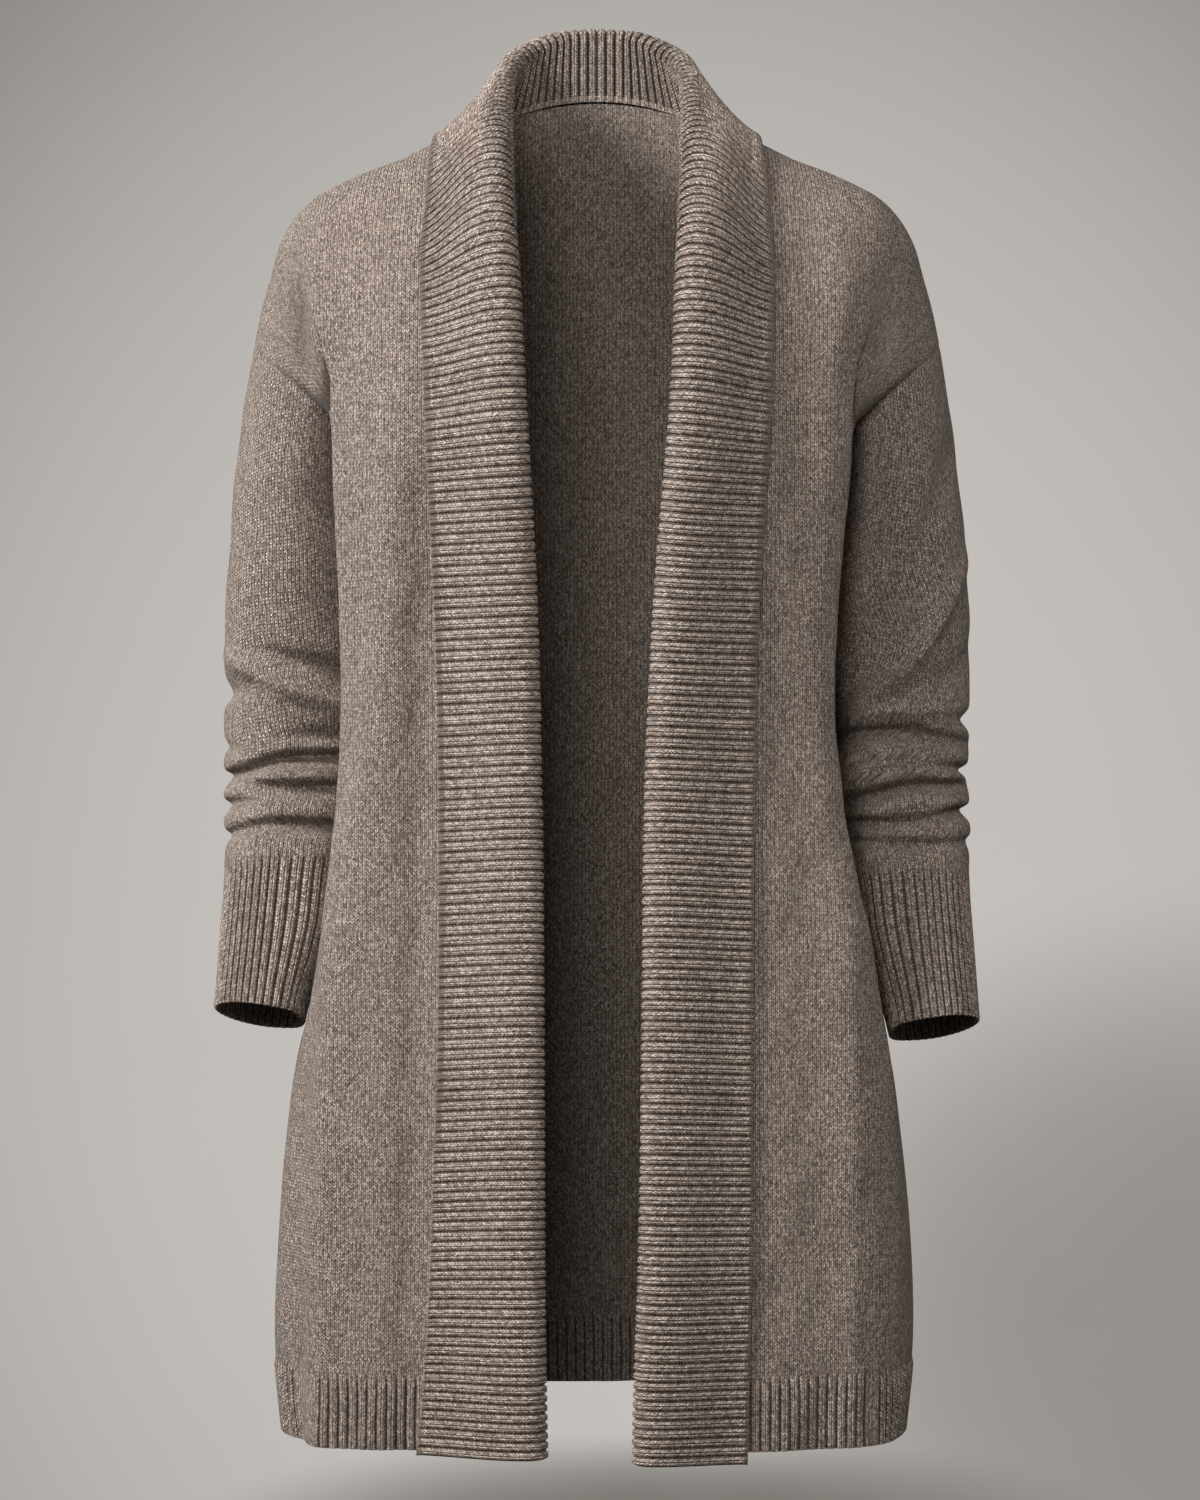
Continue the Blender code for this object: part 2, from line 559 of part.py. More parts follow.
def make_sleeve(side, collection):
    angles = np.linspace(0, 2 * math.pi, 2 * ARM_ROWS + 1)[:-1]
    start, start_n = armhole(side)
    # Rings lie closer together where the sleeve is pushed up.
    place = np.linspace(0, 1, SLEEVE_STEPS + 1)
    rows = SLEEVE_ROWS_TO_CUFF * smooth([0, SLEEVE_CROWD[0], 1], [0, SLEEVE_CROWD[1], 1], place)
    grid = np.array([start] + [sleeve_ring(side, row, angles) for row in rows[1:]])
    around = np.concatenate([grid, grid[:, :1]], axis=1)
    around = np.concatenate([grid[:, -1:], around], axis=1)
    n = unit(np.cross(np.gradient(around, axis=0), np.gradient(around, axis=1)))[:, 1:-1]
    middle = grid.mean(axis=1, keepdims=True)
    if np.sum(n * (grid - middle)) < 0:
        n = -n
    fade = ramp(0, SLEEVE_FADE[0], place) * (1 - ramp(SLEEVE_FADE[1], 1.0, place))
    depth = np.array([sleeve_fold_depth(side, ring, angles) for ring in grid]) * fade[:, None]
    grid = grid + depth[..., None] * n
    n[0] = start_n
    n[-1] = unit(grid[-1] - sleeve_frame(side, SLEEVE_ROWS_TO_CUFF)[0])
    outer, inner = (pull(pull(layer, ARMHOLE_GAP, first_row=1), SEAM_GAP / 2, last_row=1)
                    for layer in (grid, grid - CLOTH * n))
    wall("sleeve_left" if side < 0 else "sleeve_right", collection, outer, inner, KNIT, loop=True)


def make_cuff(side, collection):
    fine = np.linspace(0, 2 * math.pi, 2 * CUFF_RIBS + 1)[:-1]
    plain = np.linspace(0, 2 * math.pi, CUFF_RIBS // 2 + 1)[:-1]
    outer, inner = [], []
    for row in np.linspace(SLEEVE_ROWS_TO_CUFF, len(SLEEVE) - 1, 3):
        middle = sleeve_frame(side, row)[0]
        ring, core = sleeve_ring(side, row, fine), sleeve_ring(side, row, plain)
        groove = RIB_RIDGE * ((np.arange(2 * CUFF_RIBS) + 1) % 2)[:, None]
        outer.append(ring - groove * unit(ring - middle))
        inner.append(core - (RIB_RIDGE + RIB_CLOTH) * unit(core - middle))
    outer = pull(np.array(outer), SEAM_GAP / 2, first_row=1)
    inner = pull(np.array(inner), SEAM_GAP / 2, first_row=1)
    name = "cuff_left" if side < 0 else "cuff_right"
    wall(name, collection, outer, inner, KNIT_DARK, loop=True)


# ---------------------------------------------------------------- collar
def collar_table(side):
    rows = [dict(row) for row in COLLAR_LEFT]
    if side > 0:
        for row, change in zip(rows, COLLAR_RIGHT_CHANGES):
            row.update(change)
    return rows


def body_samples(side):
    """Dense points and normals of the outer surface on one side, for laying the collar on it."""
    points, outward = [], []
    for half in (-1, 1):
        shares = np.linspace(0, 1, 41)
        heights = np.concatenate([np.linspace(-0.08, 1, 40), 1 + np.linspace(0, 1, 41)[1:]])
        grid = np.array([[panel_point(side, half, s, h) for s in shares] for h in heights])
        n = normals(grid, np.array([0, half, 0.0]))
        points.append(grid.reshape(-1, 3))
        outward.append(n.reshape(-1, 3))
    return np.concatenate(points), np.concatenate(outward)


def lay_on(point, samples, lift):
    """Moves a point along the nearest surface normal until it stands off the surface by the lift."""
    points, outward = samples
    nearest = np.argsort(np.sum((points - point) ** 2, axis=1))[:4]
    weight = 1 / (1e-6 + np.linalg.norm(points[nearest] - point, axis=1))
    n = unit(np.sum(outward[nearest] * weight[:, None], axis=0))
    off = np.sum(np.sum((point - points[nearest]) * outward[nearest], axis=1) * weight) / np.sum(weight)
    return point + (lift - off) * n, n


def seam_curve(side):
    """The panels' edges that carry the collar, from the hem up the front and round to the centre back."""
    hem = torso_section(side, -1, np.array([HEM]), np.zeros(1))
    front = panel(side, -1)[0][:, 0]
    neck = panel(side, 1)[0][-1, :NECK_STEPS]
    return np.concatenate([hem, front, neck[::-1]])


def collar_guides(side):
    """Seam, roll and free edge, the roundness of the roll and the rib count, closely along the collar."""
    rows = collar_table(side)
    knots = np.arange(len(rows))
    dense = np.linspace(0, len(rows) - 1, DENSE)
    mirror = np.array([side, 1, 1])
    roll = np.stack([smooth(knots, column(rows, "roll_" + axis), dense) for axis in "xyz"], axis=1) * mirror
    free = np.stack([smooth(knots, column(rows, "free_" + axis), dense) for axis in "xyz"], axis=1) * mirror
    seam = seam_curve(side)
    along = lengths(seam)
    where = smooth(knots, column(rows, "seam") * along[-1] / rows[-1]["seam"], dense)
    carried = np.stack([np.interp(where, along, seam[:, k]) for k in range(3)], axis=1)
    samples = body_samples(side)
    laid = [lay_on(point, samples, RIB_LIFT) for point in free]
    free, outward = (np.array(part) for part in zip(*laid))
    step = np.diff(lengths(roll)) / np.interp((roll[1:, 2] + roll[:-1, 2]) / 2,
                                              column(COLLAR_PITCH, "z"), column(COLLAR_PITCH, "pitch"))
    ribs = np.concatenate([[0], np.cumsum(step)])
    return dict(seam=carried, roll=roll, free=free, outward=outward,
                round=smooth(knots, column(rows, "round"), dense)[:, None], ribs=ribs)


def collar_frames(side):
    """Directions across the collar: "fold" points out of the roll and "face" out of its outer layer."""
    guides = collar_guides(side)
    along = unit(np.gradient(guides["roll"], axis=0))
    along[-1] = (-side, 0, 0)
    reach = guides["roll"] - guides["seam"]
    reach = reach - np.sum(reach * along, axis=1, keepdims=True) * along
    tilt = np.arcsin(np.clip(guides["round"][:, 0] / np.linalg.norm(reach, axis=1), 0, 0.9))[:, None]
    reach = unit(reach)
    face = np.cross(along, reach) * side
    guides["fold"] = np.cos(tilt) * reach - np.sin(tilt) * face
    guides["face"] = np.cos(tilt) * face + np.sin(tilt) * reach
    return guides


def collar_section(station, ridge, thick):
    """Points across the strip, from the seam round the roll to the free edge, whose edges have no ridge."""
    seam, roll, free, fold, face, radius, outward = station
    radius = float(radius[0])
    centre = roll - (radius + RIB_CLOTH + RIB_RIDGE) * fold
    low = centre - radius * face
    points, out = [seam], [-face]
    for k in range(ROLL_STEPS + 1):
        turn = math.pi * k / ROLL_STEPS
        direction = -math.cos(turn) * face + math.sin(turn) * fold
        points.append(centre + radius * direction)
        out.append(direction)
    start = points[-1]
    reach = np.linalg.norm(free - start) / 3
    across = unit(np.cross(np.cross(outward, free - start), outward))
    for t in FACE_SHARES:
        points.append(bezier(start, start - reach * fold, free - reach * across, free, t))
        out.append(unit((1 - t) * face + t * outward))
    points, out = np.array(points), np.array(out)
    raised = np.full((len(points), 1), thick + ridge)
    raised[0] = raised[-1] = thick
    return points + raised * out


def make_collar(side, collection):
    guides = collar_frames(side)
    ribs = guides["ribs"]
    count = int(round(ribs[-1]))
    names = ("seam", "roll", "free", "fold", "face", "round", "outward")

    def stations(at):
        parts = [np.stack([np.interp(at, ribs, guides[name][:, k]) for k in range(guides[name].shape[1])],
                          axis=1) for name in names]
        return list(zip(*parts))

    bend = float(np.interp(NECK_BEND, guides["roll"][:, 2], ribs))
    fine = np.linspace(0, ribs[-1], 2 * count + 1)
    plain = np.concatenate([np.linspace(0, bend, int(bend / PLAIN_RIBS[0]) + 1)[:-1],
                            np.linspace(bend, ribs[-1], int((ribs[-1] - bend) / PLAIN_RIBS[1]) + 1)])
    grids = []
    for at, ridge, thick in ((fine, RIB_RIDGE, RIB_CLOTH), (plain, 0.0, 0.0)):
        strip = stations(at)
        points = np.array([collar_section(station, ridge * (k % 2), thick)
                           for k, station in enumerate(strip)])
        round_neck = np.array([station[0][2] > NECK_TOP for station in strip])[:, None]
        points = pull(points, np.where(round_neck, NECK_GAP, SEAM_GAP / 2), first_col=1)
        points[-1, :, 0] = side * SEAM_GAP / 2
        grids.append(points)
    outer, inner = grids
    name = "collar_left" if side < 0 else "collar_right"
    wall(name, collection, outer, inner, KNIT_DARK)


# ---------------------------------------------------------------- the whole garment
def main():
    for obj in list(bpy.data.objects):
        bpy.data.objects.remove(obj, do_unlink=True)
    collection = bpy.data.collections.new("shawl_collar_cardigan")
    bpy.context.scene.collection.children.link(collection)
    make_back(collection)
    make_hems(collection)
    for side in (-1, 1):
        make_front(side, collection)
        make_sleeve(side, collection)
        make_cuff(side, collection)
        make_collar(side, collection)


main()
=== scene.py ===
"""Looks of the long shawl collar cardigan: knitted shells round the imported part, its light and its camera.

Axes and names are those of the part: +Z up, -Y forward, "left" is -X as seen from the front.
"""
import math

import bpy
import numpy as np
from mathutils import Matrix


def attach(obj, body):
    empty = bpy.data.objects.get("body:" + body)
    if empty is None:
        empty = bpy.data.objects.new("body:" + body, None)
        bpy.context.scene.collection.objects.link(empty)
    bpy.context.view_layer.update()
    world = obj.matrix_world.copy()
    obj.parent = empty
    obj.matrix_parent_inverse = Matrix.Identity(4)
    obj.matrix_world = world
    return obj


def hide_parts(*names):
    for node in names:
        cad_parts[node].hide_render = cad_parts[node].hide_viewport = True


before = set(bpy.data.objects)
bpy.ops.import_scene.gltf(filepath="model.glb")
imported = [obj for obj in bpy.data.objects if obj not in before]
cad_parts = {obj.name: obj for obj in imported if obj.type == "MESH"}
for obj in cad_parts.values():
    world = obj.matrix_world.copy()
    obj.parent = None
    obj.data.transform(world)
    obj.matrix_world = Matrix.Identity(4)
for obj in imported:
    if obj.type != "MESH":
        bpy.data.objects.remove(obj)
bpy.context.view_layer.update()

PER_METRE = 1000
PLAIN = ("square", "lean", "way")  # columns that hold no length


def table(names, rows):
    """Rows of numbers with named columns. Lengths are given in millimetres and used in metres."""
    return [{name: value / (1 if name in PLAIN else PER_METRE) for name, value in zip(names.split(), row)}
            for row in rows]


# ---------------------------------------------------------------- driving dimensions: metres, tables in mm
SIDES = {-1: "left", 1: "right"}
CLOTH = 0.0022  # thickness of the stockinette
RIB_CLOTH = 0.0020  # thickness of the rib fabric below its ridges
RIB_RIDGE = 0.0013  # how far a rib stands out
NECK_GAP = 0.0010  # what the collar keeps from the back of the neck, where the seam bends
HEM = -0.8190  # level of the hem
HEM_RIB = 0.0450  # height of the hem rib
UNDERARM = -0.2120  # level of the underarm
BAND_SEAM = 0.0810  # half width between the two seams that carry the band
NECK_TOP = 0.0040  # level of the shoulder seam at the neck
NECK_BACK = (0.0470, 0.0280)  # depth and level of the neck seam at the centre back
NECK_FALL = np.array([0.0, 0.022, -0.055])  # how the back leaves the neck seam at its centre
NECK_FALL_SHARE = 0.45  # share of the half back over which that fades out
SHOULDER_FALL = np.array([0.0, 0.075, 0.0])  # how a front or a back leaves the shoulder seam
CHEST_RISE = np.array([0.0, 0.004, 0.115])  # how it rises from the level of the underarm
ARM_SHARE = 0.66  # share of the shoulder where it starts to bend to the armhole
SIDE_SEAM = 0.0060  # depth of the side seam, a little behind the middle
BACK_NECK_SHARE = 0.30  # share of the half back that lies under the collar at the top
RIB_LIFT = 0.0018  # how far the band's free edge stands off the fronts
HEM_PITCH = 0.0061  # one rib of the hem

# Torso sections. The widths are half widths: "corner" where a front turns back, "side" at the side seam.
TORSO = table("z left right side_l side_r front back square", [
    (-819, 198.5, 194.5, 198.5, 194.5, 131, 128, 3.8),
    (-765, 203.5, 199.7, 203.5, 199.7, 128, 126, 3.8),
    (-700, 201.5, 198.5, 201.5, 198.5, 124, 121, 3.7),
    (-640, 197, 193, 197, 193, 120, 117, 3.7),
    (-580, 189.5, 185, 188, 184, 115, 112, 3.8),
    (-530, 182, 176.5, 170, 167, 111, 106, 4),
    (-480, 176, 168.5, 158, 155, 107, 101, 4.2),
    (-425, 172, 160, 149, 148, 103, 97, 4.3),
    (-362, 170, 155, 147, 146.5, 101, 95, 4.3),
    (-290, 171, 159, 147, 147, 105, 99, 4.2),
    (-212, 173, 165, 148, 148, 113, 104, 4),
])
BACK_SQUARE = 2.6  # how square the back half of a section is
CORNER_TURN = (-0.078, -0.022)  # depths between which a front turns in to the side seam

# Shoulder seam, from the neck over the dropped shoulder to the top of the armhole.
SHOULDER = table("out up", [
    (81, 4), (105, -7), (126.1, -17.3), (145.3, -24.5), (164.5, -33.3), (180, -42), (193.5, -56),
    (202, -71), (208.5, -92), (214.5, -113), (219, -134.4),
])
ARMHOLE_STEPS = 34  # points from the underarm to the top of the armhole, on a sleeve
ARMHOLE_LOW = np.array([0.0, 0.078, 0.020])  # how the armhole's curve leaves the underarm
ARMHOLE_HIGH = np.array([0.0, 0.092, -0.010])  # and how it comes down from the shoulder

# Left sleeve from armhole to cuff edge: its outer and inner edges, middle, half depth and forward lean.
SLEEVE = table("out up_out inn up_in y deep lean", [
    (219, -134.4, 148, -212, 6, 66, 0),
    (227.2, -182.4, 156, -240, 8, 62, 0),
    (233, -230, 156.5, -270, 11, 59, 0),
    (237.5, -280, 156.5, -302, 14, 56, 0),
    (240.5, -325, 156, -337, 17, 53, 0.04),
    (240.5, -365, 155, -369, 17, 50, 0.1),
    (240, -400, 158, -399, 12, 46, 0.18),
    (239.5, -435, 165, -432, 3, 41, 0.25),
    (237.5, -470.5, 172.5, -469, -8, 37, 0.28),
    (239.5, -515, 177.5, -517, -21, 36, 0.28),
    (241.5, -557, 184, -565, -34, 36, 0.28),
])
SLEEVE_ROWS_TO_CUFF = 8  # row of the table where the sleeve ends and the cuff starts
RIGHT_SLEEVE_DROP = 0.008  # the right forearm hangs this much lower

# Shawl collar, from hem to centre back. The roll is its folded inner edge and the free edge its outer one.
# "seam" is the distance from the hem along the seam that carries it; the free edge is laid on the panels.
COLLAR_LEFT = table("seam roll_x roll_y roll_z free_x free_y free_z round", [
    (0, 29, -142, -820.5, 109.5, -130, -820.5, 8.5),
    (50, 30, -140, -769, 105, -130, -770, 8.5),
    (135, 30.8, -135, -682, 101.5, -130, -685, 8.5),
    (265, 31.5, -124, -553, 98, -120, -555, 8.5),
    (395, 32.8, -114, -423, 98.3, -110, -425, 8.5),
    (515, 35.7, -114, -303, 101.2, -110, -306, 9),
    (635, 42.1, -124, -181, 107, -120, -187, 9.5),
    (705, 46.2, -121, -109.5, 109.3, -110, -120, 10),
    (740, 49, -106, -68, 108, -90, -90, 10.5),
    (780, 51.2, -76, -25, 101.5, -60, -62, 9.2),
    (825, 52.7, -36, 13, 97, -30, -28, 6.2),
    (868, 54, 4, 44, 98.5, 5, -7, 4.6),
    (902, 48, 34, 63.5, 85, 43, -5, 4.6),
    (929, 28, 51, 75.7, 50, 66, 7, 4.8),
    (955, 0, 56, 78.7, 0, 72, 12, 5.2),
])
COLLAR_RIGHT_CHANGES = table("roll_x roll_z free_x free_z", [
    (20.8, -824, 91, -826),
    (22, -772, 92.5, -774),
    (25, -684, 95, -686),
    (27, -553, 95.8, -555),
    (28.6, -423, 97.8, -425),
    (34.1, -303, 101.2, -306),
    (43.8, -181, 108.5, -187),
    (47.2, -109.5, 110, -120),
])
COLLAR_PITCH = table("z pitch", [
    (-830, 5.5), (-600, 6.2), (-400, 6.5), (-150, 6.7), (100, 6.5),
])

# Shares and heights that shape the surfaces
SIDE_FADE = 0.12  # share of a half body beside the side seam where folds fade out
BAND_FADE = 0.08  # and beside the band
SIDE_TURN = (0.15, 0.6)  # and how far the cloth faces forward or back where they fade in
YOKE_FADE = (1.3, 1.8)  # heights between which they fade out towards the shoulder
BACK_SHIFT = 0.0040  # how far the shoulder seam's end lies behind the middle
SLEEVE_CROWD = (0.30, 0.53)  # share of the sleeve's rings that reach this share of its length
SLEEVE_FADE = (0.10, 0.97)  # shares of the sleeve between which its folds are at full depth
SLEEVE_RINGS = 230
DROP_ROWS = (1.0, 7.0)  # rows of the sleeve's table between which the right one drops
SOFTENED = 12  # rounds of averaging of the band's free edge
BELOW_HEM = -0.08  # height from which the surface is sampled for the collar
DENSE = 400  # points of a curve that is measured before it is divided

# ---------------------------------------------------------------- looks: sizes in metres
WALE = 0.0026  # one column of stockinette stitches
COURSE = 0.0020  # one row of them
RIB_COURSE = 0.0021  # one row of stitches in the ribs
CLOTH_STEP = 0.0040  # spacing of the points of the stockinette shells
PANEL_HIGH = 0.22  # lengths divided by it: from the underarm to the shoulder
PANEL_WIDE = 0.25  # across a half body
SHOULDER_WIDE = 0.20  # and across a shoulder
CLOSE_GAP = 0.00004  # half of what two shells keep between them at a seam
RIB_START = 0.0050  # height over which ribs grow out of the stockinette
EDGE_SINK = 0.00045  # how far the cloth dips at a seam
EDGE_REACH = 0.0022  # how far from the seam it starts to
RIM = 0.0010  # radius of a rounded edge
RIM_ROWS = (0.0, 0.15, 0.4, 0.7, 1.0)  # rows of points on it, as shares of that
RIM_BACK = 0.8  # how much of the rounding the inner face takes
HEM_ROWS = 9  # rows of points up the hem ribs
CUFF_ROWS = 13  # up a cuff
CUFF_SAMPLES = 60  # rings it is measured by
EVEN_RIBS = 3  # ribs from the centre back of the collar that are evenly spread
SEAM_STEPS = 7  # points from the collar's seam to its roll
ARC_STEPS = 9  # round the roll
FACE_STEPS = 13  # and across its outer layer
FREE_END = (0.965, 0.99, 1.0)  # shares of that layer of its last points
HEM_HOLLOW = 0.30  # how far the inner face follows a groove of the hem, in its depths
CUFF_HOLLOW = 0.45  # of a cuff
COLLAR_HOLLOW = 0.25  # and of the collar
FINE_CUFF_RIBS = 40  # ribs round a cuff, finer than the solid's
GROOVE_DEEP = 0.45  # depth of the groove below the solid's, in ridge heights
GROOVE_HALF = 0.17  # half width of the groove between two ribs, in ribs
SELVAGE_MARK = 1000.0  # stitch rows added where the material has no groove: edge stitch and hem fold
WALE_DIP = 0.16  # dip between the two stitch columns of a rib, in ridge heights
DIP_WIDE = 0.07  # its width, in ribs
RIDGE_ROUND = 0.7  # power that flattens a ridge
BEAD = 0.0046  # width of the seam that shows inside the neck
BEAD_RISE = 0.0026  # how far it stands out
SELVAGE = 0.0016  # width of the flat edge stitch along the collar
BESIDE_BEAD = (0.8 * BEAD, 1.3 * BEAD)  # distances from the seam over which the ribs rise
BESIDE_SELVAGE = (0.5 * SELVAGE, 1.5 * SELVAGE)  # and from the free edge
SELVAGE_MARKED = (0.9 * SELVAGE, 1.3 * SELVAGE)  # over which the mark starts
SELVAGE_HEIGHT = 0.45  # its height, in ridge heights
RIB_SAMPLES = (0.0, 0.09, 0.16, 0.24, 0.33, 0.43, 0.5, 0.57, 0.67, 0.76, 0.84, 0.91)

# Ridges (height over 0) and troughs of the fronts and the back: side and half of the body, widths away from
# and towards the middle, and the points (level, distance from the middle, height) that each runs through,
# in millimetres.
DRAPES = (
    (-1, -1, 12, 18, ((-60, 126, 1), (-210, 123, 5), (-330, 130, 6.2), (-468, 149, 6.2),
        (-600, 166, 5.6), (-860, 172, 4.4))),
    (-1, -1, 10, 18, ((-200, 106, -1), (-400, 109, -4.8), (-860, 118, -5.2))),
    (1, -1, 12, 12, ((-40, 150, 1), (-110, 150, 4), (-330, 141, 3), (-460, 140, 0))),
    (1, -1, 14, 14, ((-60, 126, -1), (-400, 126, -2), (-860, 140, -2))),
    (1, -1, 18, 14, ((-200, 116, 0), (-300, 124, 2.6), (-420, 142, 3.4), (-500, 156, 3.4),
        (-620, 168, 3.4), (-860, 172, 3))),
    (-1, -1, 10, 10, ((-450, 182, 0), (-640, 186, -4), (-860, 184, -5.6))),
    (-1, -1, 5, 9, ((-85, 176, 0), (-130, 174, 5), (-230, 169, 6), (-330, 165, 2))),
    (-1, -1, 6, 5, ((-85, 186, 0), (-130, 184, -5), (-200, 180, -4), (-260, 180, 0))),
    (1, -1, 6, 9, ((-85, 170, 0), (-140, 168, 4), (-230, 163, 5), (-330, 156, 2))),
    (-1, 1, 20, 26, ((-250, 46, 0), (-550, 60, 8), (-900, 75, 9))),
    (1, 1, 20, 24, ((-300, 30, 0), (-560, 40, 7), (-900, 52, 8))),
    (-1, 1, 18, 20, ((-300, 110, 0), (-560, 122, -6), (-900, 135, -7))),
    (1, 1, 20, 22, ((-280, 106, 0), (-540, 116, -6), (-900, 128, -7))),
)
UNDULATION = 0.0009  # height of the soft unevenness of hanging cloth

# Folds of the pushed-up sleeves: their levels and depths round the sleeve, from the outer edge (0 degrees)
# over the front (90) to the inner edge (180) and the back (270), and their widths. A depth below 0 is a
# ridge. "way" is the side of the sleeve.
WRINKLES = table("way z0 z45 z90 z135 z180 z270 d0 d45 d90 d135 d180 d270 above below", [
    (-1, -325, -328, -335, -343.8, -347, -335, 0, 1, 5.2, 8.4, 3, 2, 5, 10),
    (-1, -330, -338, -354, -367, -371, -350, 0, -4, -6.4, -3, 0, 0, 5, 7),
    (-1, -358.3, -355.8, -352, -350, -350, -358.3, 6.6, 5, 0, 0, 0, 4, 9, 6),
    (-1, -391.1, -393, -394, -394, -384, -388, 3.6, 1.2, 0, 0, 1, 3, 4, 4),
    (-1, -384.2, -384.2, -384.2, -384.2, -384.2, -384, 0, 0, 1, 7.8, 2, 0, 5, 4),
    (-1, -410, -406.2, -398, -396.4, -396.1, -402, 6.6, 8.6, 9.4, 9, 2, 6, 2.6, 6.6),
    (-1, -416, -414.4, -415.7, -416.3, -416.3, -416, 0, 2.6, 8.6, 9, 2, 4, 2.8, 6),
    (-1, -428.9, -425.7, -427, -430, -430, -429, 6, 5.2, 0.6, 0, 0, 4, 3, 5.6),
    (-1, -448.4, -443.4, -438.6, -441.5, -442.7, -446, 4.8, 5.4, 6.8, 6, 1.6, 4.4, 3, 5.6),
    (1, -180, -225, -290, -352, -374, -340, 0, 4, 7, 8, 1.4, 0, 22, 26),
    (1, -265, -290, -338.2, -369.7, -376, -345, 0, -5, -8, -2, 0, 0, 7, 8),
    (1, -325, -345, -360, -370, -374, -360, 1, 4, 3, 0, 0, 0, 12, 10),
    (1, -369, -369, -369, -371, -374, -369, 0, -3.4, -4, -1, 0, 0, 5, 5),
    (1, -375.3, -371.5, -369, -369, -369, -375, 6.6, 4.2, 0, 0, 0, 4, 6, 5),
    (1, -390, -387.3, -381.6, -382.9, -387, -385, 0.6, 4.4, 7.8, 7, 1.6, 4, 3, 7),
    (1, -406.8, -403.7, -404, -404, -404, -407, 6, 4.4, 0, 0, 0, 4, 3, 4),
    (1, -415, -415, -414.4, -423.2, -428.9, -419, 1, 7.4, 9.2, 9.4, 2, 5, 2.6, 6.6),
    (1, -432, -432, -437.1, -439, -440.8, -436, 6, 7.4, 5.6, 7, 2, 5, 2.8, 5.6),
    (1, -451.6, -451.6, -451.6, -451.6, -451.6, -452, 2.8, 3.4, 5.4, 3.8, 1, 3, 3, 5.6),
])
WRINKLE_TURNS = (0, 45, 90, 135, 180, 270, 360)  # degrees of the columns, round to the first again
WRINKLE_MORE = {-1: 1.0, 1: 1.15}  # how much deeper the creases of each sleeve are
WRINKLE_PARTS = ((0.90, 1.0), (0.16, 2.4))  # shares of a crease and of the wide dent round it, and widths
BESIDE = 0.0030  # room between a sleeve and the body's side
LEAN_MOST = 0.0110  # how far a sleeve's inner side moves up to the body at most
LEAN_FROM = (-0.20, -0.29)  # levels over which it starts to
LEAN_TO = (-0.50, -0.57)  # and over which it does so less
LEAN_LESS = 0.6
LEAN_FULL = 0.8  # how far round the inner edge it moves fully, as a cosine
BESIDE_FROM = 0.3  # share of a half body from which its section is followed
BESIDE_STEPS = 40
CORNER_PUSH = {-1: 0.0020, 1: 0.0060}  # how far the left and right fronts swell beside the cuffs
PUSH_LEVELS = (-0.70, -0.58, -0.52, -0.44)  # levels over which they do, up from below
PUSH_DEPTHS = (-0.074, -0.052)  # and depths
PUSH_FADE = 0.15  # and half width from which they do fully
HEM_SMOOTH = {-1: (-0.1765, 0.0045), 1: (0.1675, 0.0040)}  # place and half width of the fold that
SMOOTH_HEIGHT = 0.6  # flattens a front's hem ribs, and height of the cloth there in ribs' heights

# Yarn and stitches. Lengths are in stitches: across a column, along in rows.
YARN_DARK = (0.150, 0.110, 0.087, 1)
YARN_MID = (0.45, 0.36, 0.305, 1)
YARN_LIGHT = (0.98, 0.85, 0.76, 1)
GAP = (0.030, 0.021, 0.016, 1)  # painted shade in the gaps between the stitches
STRAY = (0.16, 0.30)  # how far stitches stray across and along
STRAY_NOISE = (300.0, 1.0)  # scale and detail
LEG_RISE = 1.7  # slant of the two legs of a stitch
LEG_PLACE = 0.215  # middle of a leg, from that of the stitch
LEG_HALF = 0.275  # its half width
LEG_LONG = 0.53  # and half length
LEG_ROUND = 0.7  # power that flattens its top
FLECKS = 2.0  # flecks along a leg
FLECK_TONE = (0.78, -0.36)  # their contrast and level
FIBRE_NOISE = (1200.0, 2.0)
FIBRE_TONE = 0.92  # share of the fibres in the tone
FIBRE_RISE = 0.35  # and in the relief
STITCH_RISE = 0.0013  # height of the relief, in metres
SHADE = (0.98, 0.04)  # painted shade of the stitches: how much lighter the top of a leg is than the gaps, and their level
WOOL = {"Roughness": 0.92, "Specular IOR Level": 0.2, "Sheen Weight": 0.12, "Sheen Roughness": 0.5,
        "Sheen Tint": (0.9, 0.84, 0.78, 1)}
# The two stitch columns of a rib and its groove. Rows count up from the collar's seam, and down from a hem's
# or a cuff's.
RIB_TOP = 1 - 0.8 * GROOVE_HALF  # share of a rib that its two columns take
GROOVE_FLOOR = 0.2 * GROOVE_HALF  # half width of the groove's darkest part, in ribs
GROOVE_STRAY = 0.10  # how far its edges follow the stitches
GROOVE_START = -2.4  # rows over which it starts
GROOVE_SHADE = -0.76  # painted shade in a groove: what it adds to the lightness
RIB_LIGHT = 1.04  # lightness of the ribs
COLLAR_ROWS = 0.3  # rows from which the ribs are the collar's
COLLAR_LIGHTER = 0.20  # what that adds; the hem's and cuffs' ribs stay darker as painted shade of their deeper grooves
STAND_ROWS = (26.0, 20.0)  # rows between which the collar's inner side ends
STAND_GROOVE = 0.07  # how much wider the grooves are on it, in ribs
STAND_SHADE = -0.42  # and the painted shade of the collar over it: what it adds to the lightness
BEAD_ROWS = BEAD / RIB_COURSE  # end of the bead along the collar's seam
BEAD_FOOT = 0.85 * BEAD_ROWS  # and where the grooves start beside it

